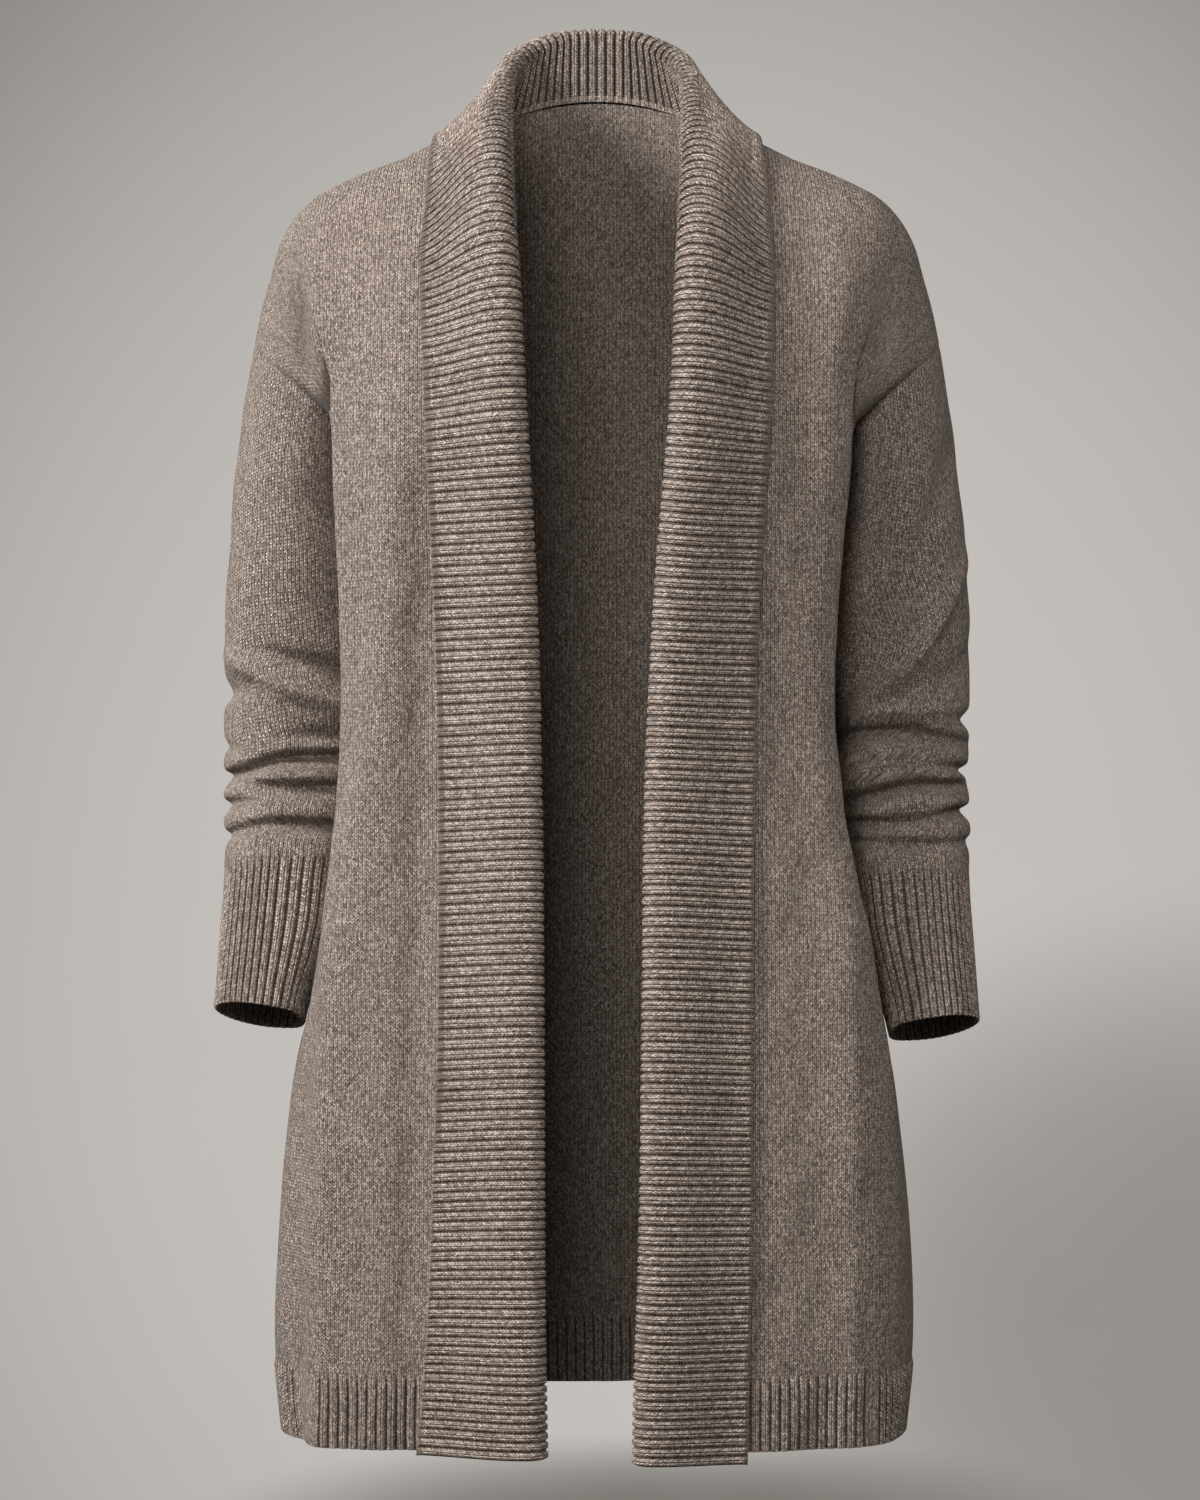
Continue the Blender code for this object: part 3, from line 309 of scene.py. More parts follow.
# Stage, light and camera
BACKDROP_PLACE = (0, 8.0, -0.39)  # clear of a look from behind the garment
BACKDROP_WIDTH = 26.0
BACKDROP_SPREAD = 3.059  # how much larger its patches are than if it stood 1 m behind
# Painted shade of the backdrop away from its painted pool of light.
BACKDROP_DARK = (0.18, 0.172, 0.160, 1)
PAINTED_LIGHT_AND_SHADOWS = (  # painted pool of light, then painted shadows of the garment at the lower right and under the hem: middle, half axes, strength and colour
    ((0.06, -0.20), (1.12, 1.38), 1.0, (0.565, 0.535, 0.51, 1)),
    ((0.56, -0.52), (0.52, 0.42), 0.72, (0.20, 0.185, 0.17, 1)),
    ((0.06, -0.71), (0.46, 0.095), 0.95, (0.165, 0.150, 0.132, 1)),
)
CLOUD = (0.45, 0.43, 0.41, 1)  # the faint clouds on it
CLOUD_NOISE = (9.0, 6.0)
CLOUD_STRENGTH = 0.16
LIGHTS = (  # name, place, aim, size, power and colour
    ("key", (-1.75, -1.05, 0.98), (0, 0, -0.30), 0.9, 80.0, (1.0, 0.985, 0.965)),
    ("fill", (-0.24, -1.70, 0.10), (0, 0, -0.25), 0.6, 13.0, (1.0, 0.98, 0.95)),
    ("side", (1.8, -1.0, 0.8), (0.2, 0, -0.2), 0.9, 12.0, (1.0, 0.98, 0.95)),
)
SKY_COLOUR = (1.0, 0.94, 0.87, 1)
SKY_FADE = {"From Min": -0.5, "From Max": 0.7, "To Min": 0.04, "To Max": 0.24}
CAMERA_PLACE = (0.00192, -2.4, -0.3936)
LENS = 90
SENSOR = 36
FAR = 50
PICTURE = (1200, 1500)

# Edges of a grid of points, each an axis and its start or its end
FIRST_ROW, LAST_ROW, FIRST_COLUMN, LAST_COLUMN = EDGES = (0, 0), (0, -1), (1, 0), (1, -1)


# ---------------------------------------------------------------- small tools
def column(table, name):
    return np.array([row[name] for row in table], float)


def smooth(knots, values, at):
    """A smooth curve through the values at the knots."""
    knots, values, at = np.asarray(knots, float), np.asarray(values, float), np.asarray(at, float)
    slope = np.gradient(values, knots, axis=0)
    i = np.clip(np.searchsorted(knots, at) - 1, 0, len(knots) - 2)
    step = knots[i + 1] - knots[i]
    t = np.clip((at - knots[i]) / step, 0.0, 1.0)
    if values.ndim > 1:
        step, t = step[..., None], t[..., None]
    return ((1 + 2 * t) * (1 - t) ** 2 * values[i] + t * (1 - t) ** 2 * step * slope[i]
            + t * t * (3 - 2 * t) * values[i + 1] + t * t * (t - 1) * step * slope[i + 1])


def ramp(low, high, at):
    t = np.clip((np.asarray(at, float) - low) / (high - low), 0.0, 1.0)
    return t * t * (3 - 2 * t)


def unit(v):
    return v / np.linalg.norm(v, axis=-1, keepdims=True)


def lengths(points):
    return np.concatenate([[0.0], np.cumsum(np.linalg.norm(np.diff(points, axis=0), axis=1))])


def between(at, knots, values):
    """Straight lines through rows of values at the knots."""
    return np.stack([np.interp(at, knots, values[:, k]) for k in range(values.shape[1])], axis=1)


def bezier(p0, p1, p2, p3, t):
    t = np.asarray(t, float)[..., None]
    return (1 - t) ** 3 * p0 + 3 * t * (1 - t) ** 2 * p1 + 3 * t * t * (1 - t) * p2 + t ** 3 * p3


def normals(grid, outward):
    """Unit normals of a grid of points, turned to the side that "outward" points to on average."""
    n = unit(np.cross(np.gradient(grid, axis=0), np.gradient(grid, axis=1)))
    return n if np.sum(n * outward) > 0 else -n


def pull(grid, distance, edges):
    """Draws edges of a grid in along the cloth by a distance."""
    grid = grid.copy()
    for axis, end in edges:
        lines = np.moveaxis(grid, axis, 0)
        lines[end] += distance * unit(lines[-2 if end else 1] - lines[end])
    return grid


# ---------------------------------------------------------------- surfaces of the body
def torso_size(name, z):
    return smooth(column(TORSO, "z"), column(TORSO, name), z)


def torso_section(side, half, z, share):
    """Points of a level section. share runs from the band seam, or the centre back, to the side seam."""
    deep = torso_size("front" if half < 0 else "back", z)
    wide = torso_size("side_l" if side < 0 else "side_r", z)
    square = BACK_SQUARE
    first = 0.0 * z
    if half < 0:
        square = torso_size("square", z)
        corner = torso_size("left" if side < 0 else "right", z)
        first = np.arcsin((BAND_SEAM / corner) ** (square / 2))
    angle = first + share * (math.pi / 2 - first)
    y = SIDE_SEAM + half * (deep + half * -SIDE_SEAM) * np.clip(np.cos(angle), 0, 1) ** (2 / square)
    x = np.sin(angle) ** (2 / square)
    if half < 0:
        x = x * corner - (corner - wide) * ramp(*CORNER_TURN, y)
    else:
        x = x * wide
    return np.stack([side * x, y, z + 0.0 * x], axis=-1)


def shoulder_seam(share):
    line = np.stack([column(SHOULDER, "out"), column(SHOULDER, "up")], axis=1)
    return smooth(lengths(line) / lengths(line)[-1], line, share)


def body_surface(side, half, shares, heights):
    """Outer points in rows of one height: 0 at the hem rib's top, 1 at the underarm, 2 at the shoulder."""
    low = heights[heights <= 1.0]
    z = (HEM + HEM_RIB) + low * (UNDERARM - HEM - HEM_RIB)
    across, levels = np.meshgrid(shares, z)
    grid = torso_section(side, half, levels, across)
    if half < 0:
        low_end, low_full, high_full, high_end = PUSH_LEVELS
        swell = ramp(low_end, low_full, levels) * (1 - ramp(high_full, high_end, levels))
        forward = 1 - ramp(*PUSH_DEPTHS, grid[..., 1])
        wide = ramp(BAND_SEAM, PUSH_FADE, np.abs(grid[..., 0]))
        grid[..., 0] += side * CORNER_PUSH[side] * swell * forward * wide
    high = heights[heights > 1.0] - 1.0
    if not len(high):
        return grid
    foot = body_surface(side, half, shares, np.ones(1))[0]
    beyond = shares if half < 0 else np.clip((shares - BACK_NECK_SHARE) / (1 - BACK_NECK_SHARE), 0, None)
    out, up = shoulder_seam(beyond).T
    top = np.stack([side * out, BACK_SHIFT * ramp(0.5, 1.0, beyond), up], axis=1)
    turned = np.array([1, half, 1])
    reach = np.zeros((len(shares), 3)) + SHOULDER_FALL * turned
    if half > 0:
        reach = NECK_FALL + ramp(0, NECK_FALL_SHARE, shares)[:, None] * (reach - NECK_FALL)
        angle = np.clip(shares / BACK_NECK_SHARE, 0, 1) * math.pi / 2
        deep, rise_back = NECK_BACK
        neck = np.stack([side * BAND_SEAM * np.sin(angle), deep * np.cos(angle),
                         NECK_TOP + (rise_back - NECK_TOP) * np.cos(angle) ** 2], axis=1)
        top = np.where((shares < BACK_NECK_SHARE)[:, None], neck, top)
    at_arm = ramp(ARM_SHARE, 1.0, beyond)[:, None]
    reach = reach + at_arm * (ARMHOLE_HIGH * turned - reach)
    rise = CHEST_RISE * turned
    rise = rise + at_arm * (ARMHOLE_LOW * turned - rise)
    upper = bezier(foot[None], (foot + rise)[None], (top + reach)[None], top[None], high[:, None])
    return np.concatenate([grid, upper])


def drape_height(side, half, x, z):
    """Height of the folds and of the soft unevenness at points of a front or of a half back."""
    total = UNDULATION * (np.sin(47 * z + 31 * x + side) * np.sin(83 * x * side - 13 * z + half)
                          + 0.6 * np.sin(117 * z - 62 * x + 2 * side) * np.cos(151 * x + 23 * z))
    for fold_side, fold_half, away, towards, points in DRAPES:
        if (fold_side, fold_half) != (side, half):
            continue
        knots, places, heights = np.array(points[::-1]).T / PER_METRE
        off = np.abs(x) - smooth(knots, places, z)
        wide = np.where(off > 0, away, towards) / PER_METRE
        total = total + smooth(knots, heights, z) * (z < knots[-1]) * np.exp(-(off / wide) ** 2)
    return total


def fold_room(half, share):
    """1 where folds are free, down to 0 at the side seam and, on a front, at the band."""
    band = ramp(0, BAND_FADE, share) if half < 0 else 1.0
    return band * ramp(0, SIDE_FADE, 1 - share)


def draped_body(side, half, shares, heights):
    grid = body_surface(side, half, shares, heights)
    n = normals(grid, np.array([0, half, 0.0]))
    level = heights <= 0.0
    n[level, :, 2] = 0.0
    n = unit(n)
    room = fold_room(half, shares) * (1 - ramp(*YOKE_FADE, heights))[:, None]
    room = room * ramp(*SIDE_TURN, np.abs(n[..., 1]))
    return grid + n * (room * drape_height(side, half, grid[..., 0], grid[..., 2]))[..., None]


def arm_normals(half, count):
    """Normals along the armhole, from the underarm to the shoulder, shared by the body and the sleeve."""
    angle = np.linspace(0, math.pi, count)[:, None]
    low, front, high = np.array([0.0, 0, -1.0]), np.array([0.25, half * 0.97, 0]), np.array([0.83, 0, 0.5])
    mix = np.clip(np.cos(angle), 0, 1) * low + np.sin(angle) * front - np.clip(np.cos(angle), -1, 0) * high
    return unit(mix)


# ---------------------------------------------------------------- shells
def put(name, data, place=(0, 0, 0), turn=(0, 0, 0)):
    """A new object in the scene."""
    obj = bpy.data.objects.new(name, data)
    bpy.context.scene.collection.objects.link(obj)
    obj.location = place
    obj.rotation_euler = turn
    return obj


def sink(distance):
    """How far the outer face dips at a distance from a seam."""
    return EDGE_SINK * np.exp(-(distance / (0.5 * EDGE_REACH)) ** 2)


def rim_round(distance):
    """How far the outer face drops at a distance from a free edge, so that the edge is round."""
    short = np.clip(1 - distance / RIM, 0, 1)
    return RIM * (1 - np.sqrt(1 - short ** 2))


def edge_distance(grid, edge):
    """Distance along the cloth of each point of a grid from one of its edges."""
    axis, end = edge
    step = np.linalg.norm(np.diff(grid, axis=axis), axis=2)
    start = np.zeros_like(np.take(step, [0], axis=axis))
    along = np.concatenate([start, np.cumsum(step, axis=axis)], axis=axis)
    return np.take(along, [-1], axis=axis) - along if end else along


def closed(grid):
    """The grid of a ring with its first column repeated at the end."""
    return np.concatenate([grid, grid[:, :1]], axis=1)


def two_layers(index, loop):
    """Corners of the faces of two layers of numbered points and of the strips between their edges."""
    count = index.max() + 1
    corners = (index[:-1, :-1], index[:-1, 1:], index[1:, 1:], index[1:, :-1])
    front = np.stack(corners, axis=-1).reshape(-1, 4)
    borders = [(index[0, 1:], index[0, :-1]), (index[-1, :-1], index[-1, 1:])]
    if not loop:
        borders += [(index[:-1, 0], index[1:, 0]), (index[1:, -1], index[:-1, -1])]
    sides = [np.stack([start, end, end + count, start + count], axis=-1) for start, end in borders]
    return np.concatenate([front, front[:, ::-1] + count] + sides)


def shell(name, outer, inner, stitches, material, loop):
    """A closed thin shell of two grids of points, with the places of its stitches as a UV map."""
    rows, cols = outer.shape[:2]
    count = rows * cols
    points = np.concatenate([outer.reshape(-1, 3), inner.reshape(-1, 3)])
    index = np.arange(count).reshape(rows, cols)
    if loop:
        index = closed(index)
    faces = two_layers(index, loop)
    # The stitches of a ring have one more column than its points, so that they run on to the full turn.
    layer = [np.broadcast_to(part, index.shape).reshape(-1) for part in stitches]
    places = np.tile(np.stack(layer, axis=1), (2, 1))
    corners = places[two_layers(np.arange(index.size).reshape(index.shape), loop)]
    a, b, c, d = (points[faces[:, k]] for k in range(4))
    if np.sum(a * (np.cross(b, c) + np.cross(c, d))) < 0:
        # The faces look inward.
        faces, corners = faces[:, ::-1], corners[:, ::-1]
    mesh = bpy.data.meshes.new(name)
    mesh.from_pydata(points, [], faces, shade_flat=False)
    mesh.uv_layers.new(name="knit").data.foreach_set("uv", corners.reshape(-1))
    # The edges of both layers are sharp, so that the shading runs on evenly over a seam.
    rim = np.zeros((rows, cols), bool)
    rim[[0, -1]] = True
    if not loop:
        rim[:, [0, -1]] = True
    rim = np.tile(rim.reshape(-1), 2)
    ends_of = np.zeros(2 * len(mesh.edges), np.int32)
    mesh.edges.foreach_get("vertices", ends_of)
    ends_of = ends_of.reshape(-1, 2)
    sharp = rim[ends_of].all(axis=1) & ((ends_of[:, 0] < count) == (ends_of[:, 1] < count))
    mesh.attributes.new("sharp_edge", "BOOLEAN", "EDGE").data.foreach_set("value", sharp)
    mesh.validate()
    mesh.update()
    mesh.materials.append(material)
    return put(name, mesh)


def knit(name, outer, inner, stitches, material, slot, cloth, held, loop=False):
    """Builds a named piece in place of its solid; the grid of its cloth is not used."""
    obj = shell("knit_" + name, outer, inner, stitches, material, loop)
    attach(obj, "root")
    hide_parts(name)


def steps(length):
    return max(4, int(round(length / CLOTH_STEP)))


def panel_grid(side, half):
    """Draped outer points and normals of a front or a half back."""
    heights = np.concatenate([np.linspace(0, 1, steps(UNDERARM - HEM - HEM_RIB) + 1),
                              1 + np.linspace(0, 1, steps(PANEL_HIGH) + 1)[1:]])
    shares = np.linspace(0, 1, steps(PANEL_WIDE) + 1)
    if half > 0:
        neck_steps = steps(PANEL_WIDE * BACK_NECK_SHARE)
        rest = BACK_NECK_SHARE + (1 - BACK_NECK_SHARE) * np.linspace(0, 1, steps(SHOULDER_WIDE) + 1)
        shares = np.concatenate([np.linspace(0, BACK_NECK_SHARE, neck_steps + 1)[:-1], rest])
    grid = draped_body(side, half, shares, heights)
    n = normals(grid, np.array([0, half, 0.0]))
    n[0, :, 2] = 0.0
    n[:, -1] = (side, 0, 0)
    arm = heights >= 1.0
    n[arm, -1] = arm_normals(half, int(arm.sum())) * np.array([side, 1, 1])
    line = grid[-1][:, [0, 2]]
    across = unit(np.gradient(line, axis=0))
    seam = np.stack([-across[:, 1], 0 * across[:, 0], across[:, 0]], axis=1)
    seam[seam[:, 2] < 0] *= -1
    if half > 0:
        seam[shares < BACK_NECK_SHARE] = n[-1, shares < BACK_NECK_SHARE]
    n[-1, :-1] = seam[:-1]
    n[:, 0, 0] = 0.0
    return grid, unit(n)


def stockinette_places(grid):
    """Stitch columns and rows at each point, counted from the first column and the first row of points."""
    return edge_distance(grid, FIRST_COLUMN) / WALE, edge_distance(grid, FIRST_ROW) / COURSE


def stockinette(name, grid, n, seams, edges, places, material, held, loop=False):
    """A piece of stockinette on a grid of points with their normals, that dips at its seams."""
    dip = sum(sink(edge_distance(grid, seam)) for seam in seams)[..., None]
    outer, inner = (pull(grid - depth * n, CLOSE_GAP, edges) for depth in (dip, CLOTH))
    knit(name, outer, inner, places, material, "stockinette_knit", grid, held, loop)


def joined(left, right):
    """Two halves of a grid that both start at the middle, side by side."""
    return np.concatenate([left[:, ::-1], right[:, 1:]], axis=1)


def make_front(side, material):
    grid, n = panel_grid(side, -1)
    stockinette("front_" + SIDES[side], grid, n, (LAST_ROW, LAST_COLUMN), EDGES, stockinette_places(grid),
                material, "hung")


def make_back(material):
    (left, left_n), (right, right_n) = (panel_grid(side, 1) for side in SIDES)
    n = joined(left_n, right_n)
    n[:, left.shape[1] - 1] = unit(left_n[:, 0] + right_n[:, 0])
    (left_u, left_v), (right_u, right_v) = (stockinette_places(half) for half in (left, right))
    places = joined(-left_u, right_u), joined(left_v, right_v)
    stockinette("back", joined(left, right), n, (LAST_ROW, FIRST_COLUMN, LAST_COLUMN), EDGES, places,
                material, "hung")


# ---------------------------------------------------------------- ribs
def rib_height(phase):
    """Height of a rib at a place in ribs: about 1 on its two stitch columns and below 0 in the groove."""
    off = np.abs(phase - np.round(phase))
    ridge = ramp(0.0, 2 * GROOVE_HALF, off) ** RIDGE_ROUND
    ridge = ridge * (1 - WALE_DIP * np.exp(-((off - 0.5) / DIP_WIDE) ** 2))
    return ridge - GROOVE_DEEP * (1 - ridge)


def rib_places(count):
    """Places along a line of ribs, in ribs, closer together in the grooves."""
    return np.append((np.arange(count)[:, None] + np.array(RIB_SAMPLES)).reshape(-1), float(count))


def resample(line, shares, values=None):
    """The line, or values along it, at shares of its length."""
    values = line if values is None else values
    return between(shares, lengths(line) / lengths(line)[-1], values)


def rib_rows(height, count):
    """Distances of the rows of a rib fabric from its free edge, closer together at the rounded edge."""
    return np.append(RIM_ROWS, np.linspace(1.0, height / RIM, count)[1:]) * RIM


def rib_faces(height, below, above, start, hollow):
    """Heights of both faces of a rib fabric, "below" from its free edge and "above" from its seam.

    At the seam all of it is at a share of the ridges' height, "start", and heights are measured from there.
    "hollow" is how far the inner face follows the grooves.
    """
    rim = rim_round(below) / RIM
    grown = float(ramp(0, RIB_START, above))
    ridge = height + (np.maximum(height, 0) - height) * rim
    face = RIB_RIDGE * (ridge - start) * grown - RIM * rim
    back = RIM_BACK * RIM * rim + hollow * RIB_RIDGE * (1 - ridge) * (1 - rim)
    return face, back - RIB_CLOTH - start * RIB_RIDGE


def hem_wall(name, halves, material):
    """A hem rib along one or two half bodies."""
    up = rib_rows(HEM_RIB, HEM_ROWS)
    heights = (up - HEM_RIB) / (UNDERARM - HEM - HEM_RIB)
    parts = []
    for side, half in halves:
        grid = draped_body(side, half, np.linspace(0, 1, DENSE), heights)
        n = normals(grid, np.array([0, half, 0.0]))
        n[:, :, 2] = 0.0
        n[:, -1] = (side, 0, 0)
        n[:, 0, 0] = 0.0
        parts.append((grid, unit(n)))
    grid, n = (joined(*pair) for pair in zip(*parts)) if len(parts) == 2 else parts[0]
    count = int(round(lengths(grid[0])[-1] / HEM_PITCH))
    places = rib_places(count)
    flat = 0.0 * places
    side, half = halves[0]
    if half < 0:
        middle, wide = HEM_SMOOTH[side]
        flat = (np.abs(resample(grid[0], places / count)[:, 0] - middle) < wide).astype(float)
    height = (rib_height(places) * (1 - flat) + SMOOTH_HEIGHT * flat)[:, None]
    layers = [], []
    for distance, points, outward in zip(up, grid, n):
        line = resample(points, places / count)
        out = unit(resample(points, places / count, outward))
        for layer, lift in zip(layers, rib_faces(height, distance, HEM_RIB - distance, 0.0, HEM_HOLLOW)):
            layer.append(line + lift * out)
    outer, inner = (pull(np.array(layer), CLOSE_GAP, EDGES[1:]) for layer in layers)
    stitches = (places[None], (up - HEM_RIB)[:, None] / RIB_COURSE + SELVAGE_MARK * flat)
    knit(name, outer, inner, stitches, material, "rib_knit", grid, "hung")


# ---------------------------------------------------------------- sleeves and cuffs
def sleeve_frame(side, row):
    """Middle and two half axes of the sleeve's ring at a place along its table."""
    def value(name):
        return smooth(np.arange(len(SLEEVE)), column(SLEEVE, name), row)

    drop = RIGHT_SLEEVE_DROP * ramp(*DROP_ROWS, row) if side > 0 else 0.0
    outer = np.array([side * value("out"), value("y"), value("up_out") - drop])
    inner = np.array([side * value("inn"), value("y"), value("up_in") - drop])
    lean = value("lean")
    forward = value("deep") * np.array([0.0, -math.cos(lean), math.sin(lean)])
    return (outer + inner) / 2, (outer - inner) / 2, forward


def sleeve_ring(side, row, angles):
    """Points round the sleeve. Angle 0 is the outer edge and a quarter turn is the front."""
    middle, across, forward = sleeve_frame(side, row)
    return middle + np.cos(angles)[:, None] * across + np.sin(angles)[:, None] * forward


def armhole(side, count):
    """The armhole from its top down the front, round the underarm and up the back, with its normals."""
    heights = 1 + np.linspace(0, 1, count + 1)
    heights[0] += 1e-9
    share = np.array([1.0])
    front, back = (body_surface(side, half, share, heights)[:, 0] for half in (-1, 1))
    mirror = np.array([side, 1, 1])
    front_n, back_n = (arm_normals(half, count + 1) * mirror for half in (-1, 1))
    points = np.concatenate([front[::-1], back[1:-1]])
    return points, np.concatenate([front_n[::-1], back_n[1:-1]])


def lean_on_body(side, ring, angles):
    """Moves the inner side of a sleeve's ring up to the body's side."""
    level = float(ring[np.argmin(np.cos(angles)), 2])
    shares = np.linspace(BESIDE_FROM, 1, BESIDE_STEPS)
    front, back = (torso_section(side, half, level + 0 * shares, shares) for half in (-1, 1))
    line = np.concatenate([front, back[-2::-1]])
    spare = side * ring[:, 0] - np.interp(ring[:, 1], line[:, 1], np.abs(line[:, 0])) - BESIDE
    share = ramp(0.0, LEAN_FULL, -np.cos(angles)) * ramp(*LEAN_FROM, level)
    share = share * (1 - LEAN_LESS * ramp(*LEAN_TO, level))
    moved = ring.copy()
    moved[:, 0] -= side * share * np.clip(spare, 0, LEAN_MOST)
    return moved


def wrinkle_depth(side, points, angles):
    """Depth of the pushed-up folds at points round the sleeve."""
    total = 0.0 * angles
    turns = np.radians(WRINKLE_TURNS)
    for fold in WRINKLES:
        if fold["way"] != side:
            continue
        level, depth = (smooth(turns, [fold[kind + str(turn % 360)] for turn in WRINKLE_TURNS], angles)
                        for kind in "zd")
        off = points[:, 2] - level
        off = off / np.where(off > 0, fold["above"], fold["below"])
        for part, wide in WRINKLE_PARTS:
            total = total - part * depth * np.exp(-(off / wide) ** 2)
    return WRINKLE_MORE[side] * total


def around_normals(grid):
    """Unit normals of a grid of rings, turned outward."""
    ring = np.concatenate([grid[:, -1:], grid, grid[:, :1]], axis=1)
    n = unit(np.cross(np.gradient(ring, axis=0), np.gradient(ring, axis=1)))[:, 1:-1]
    outward = grid - grid.mean(axis=1, keepdims=True)
    return n if np.sum(n * outward) > 0 else -n


def make_sleeve(side, material):
    angles = np.linspace(0, 2 * math.pi, 2 * ARMHOLE_STEPS + 1)[:-1]
    start, start_n = armhole(side, ARMHOLE_STEPS)
    place = np.linspace(0, 1, SLEEVE_RINGS)
    rows = SLEEVE_ROWS_TO_CUFF * smooth([0, SLEEVE_CROWD[0], 1], [0, SLEEVE_CROWD[1], 1], place)
    first = sleeve_ring(side, 0.0, angles)
    grid = np.array([sleeve_ring(side, row, angles) + (1 - ramp(0, 1.0, row)) * (start - first)
                     for row in rows])
    grid = np.array([lean_on_body(side, ring, angles) for ring in grid])
    n = around_normals(grid)
    fade = ramp(0, SLEEVE_FADE[0], place) * (1 - ramp(SLEEVE_FADE[1], 1.0, place))
    depth = np.array([wrinkle_depth(side, ring, angles) for ring in grid])
    z, turn = grid[..., 2], np.broadcast_to(angles, grid.shape[:2])
    depth = depth + UNDULATION * np.sin(61 * z + 2 * turn + side) * np.cos(3 * turn - 37 * z)
    grid = grid + (depth * fade[:, None])[..., None] * n
    n = around_normals(grid)
    n[0] = start_n
    n[-1] = unit(grid[-1] - sleeve_frame(side, SLEEVE_ROWS_TO_CUFF)[0])
    stockinette("sleeve_" + SIDES[side], grid, n, (FIRST_ROW,), (FIRST_ROW, LAST_ROW),
                stockinette_places(closed(grid)), material, "gathered", loop=True)


def make_cuff(side, material):
    places = rib_places(FINE_CUFF_RIBS)
    angles = places[:-1] / FINE_CUFF_RIBS * 2 * math.pi
    height = rib_height(places[:-1])[:, None]
    along = np.linspace(SLEEVE_ROWS_TO_CUFF, len(SLEEVE) - 1, CUFF_SAMPLES)
    reach = lengths(np.array([sleeve_frame(side, row)[0] for row in along]))
    up = rib_rows(reach[-1], CUFF_ROWS)[::-1]
    rings, layers = [], ([], [])
    for distance in up:
        down = reach[-1] - distance
        row = np.interp(down, reach, along)
        ring = lean_on_body(side, sleeve_ring(side, row, angles), angles)
        out = unit(ring - sleeve_frame(side, row)[0])
        for layer, lift in zip(layers, rib_faces(height, distance, down, 1.0, CUFF_HOLLOW)):
            layer.append(ring + lift * out)
        rings.append(ring)
    outer, inner = (pull(np.array(layer), CLOSE_GAP, (FIRST_ROW,)) for layer in layers)
    stitches = (places[None], (up - reach[-1])[:, None] / RIB_COURSE)
    knit("cuff_" + SIDES[side], outer, inner, stitches, material, "rib_knit", np.array(rings), "stretched",
         loop=True)


# ---------------------------------------------------------------- collar
def collar_table(side):
    rows = [dict(row) for row in COLLAR_LEFT]
    if side > 0:
        for row, change in zip(rows, COLLAR_RIGHT_CHANGES):
            row.update(change)
    return rows


def body_samples(side):
    """Dense points and normals of the outer surface on one side, for laying the collar on it."""
    points, outward = [], []
    for half in (-1, 1):
        shares = np.linspace(0, 1, 41)
        heights = np.concatenate([np.linspace(BELOW_HEM, 1, 40), 1 + np.linspace(0, 1, 41)[1:]])
        grid = body_surface(side, half, shares, heights)
        points.append(grid.reshape(-1, 3))
        outward.append(normals(grid, np.array([0, half, 0.0])).reshape(-1, 3))
    return np.concatenate(points), np.concatenate(outward)


def lay_on(point, samples, lift):
    """Moves a point along the nearest surface normal until it stands off the surface by the lift."""
    points, outward = samples
    nearest = np.argsort(np.sum((points - point) ** 2, axis=1))[:4]
    weight = 1 / (1e-6 + np.linalg.norm(points[nearest] - point, axis=1))
    n = unit(np.sum(outward[nearest] * weight[:, None], axis=0))
    off = np.sum(np.sum((point - points[nearest]) * outward[nearest], axis=1) * weight) / np.sum(weight)
    return point + (lift - off) * n, n


def seam_curve(side):
    """The edges that carry the collar, from the hem up the front and round to the centre back."""
    heights = np.concatenate([np.linspace(BELOW_HEM, 1, 80), 1 + np.linspace(0, 1, 30)[1:]])
    front = body_surface(side, -1, np.zeros(1), heights)[:, 0]
    shares = np.linspace(0, BACK_NECK_SHARE, 40)[:-1]
    neck = body_surface(side, 1, shares, np.array([1.0, 2.0]))[-1]
    return np.concatenate([front, neck[::-1]])


def soften(line, rounds):
    """Averages a line of points with its neighbours, its two ends held."""
    for _ in range(rounds):
        line = line.copy()
        line[1:-1] = (line[:-2] + 2 * line[1:-1] + line[2:]) / 4
    return line


def collar_guides(side):
    """Seam, roll and free edge, the roundness of the roll and the rib count, closely along the collar."""
    rows = collar_table(side)
    knots = np.arange(len(rows))
    dense = np.linspace(0, len(rows) - 1, DENSE)
    mirror = np.array([side, 1, 1])
    roll, free = (smooth(knots, np.stack([column(rows, edge + axis) for axis in "xyz"], axis=1), dense)
                  for edge in ("roll_", "free_"))
    roll, free = roll * mirror, free * mirror
    seam = seam_curve(side)
    along = lengths(seam)
    where = smooth(knots, column(rows, "seam") * along[-1] / rows[-1]["seam"], dense)
    carried = between(where, along, seam)
    samples = body_samples(side)
    laid = [lay_on(point, samples, RIB_LIFT) for point in free]
    free, outward = (soften(np.array(part), SOFTENED) for part in zip(*laid))
    step = np.diff(lengths(roll)) / np.interp((roll[1:, 2] + roll[:-1, 2]) / 2,
                                              column(COLLAR_PITCH, "z"), column(COLLAR_PITCH, "pitch"))
    ribs = np.concatenate([[0], np.cumsum(step)])
    return dict(seam=carried, roll=roll, free=free, outward=unit(outward),
                round=smooth(knots, column(rows, "round"), dense)[:, None], ribs=ribs)


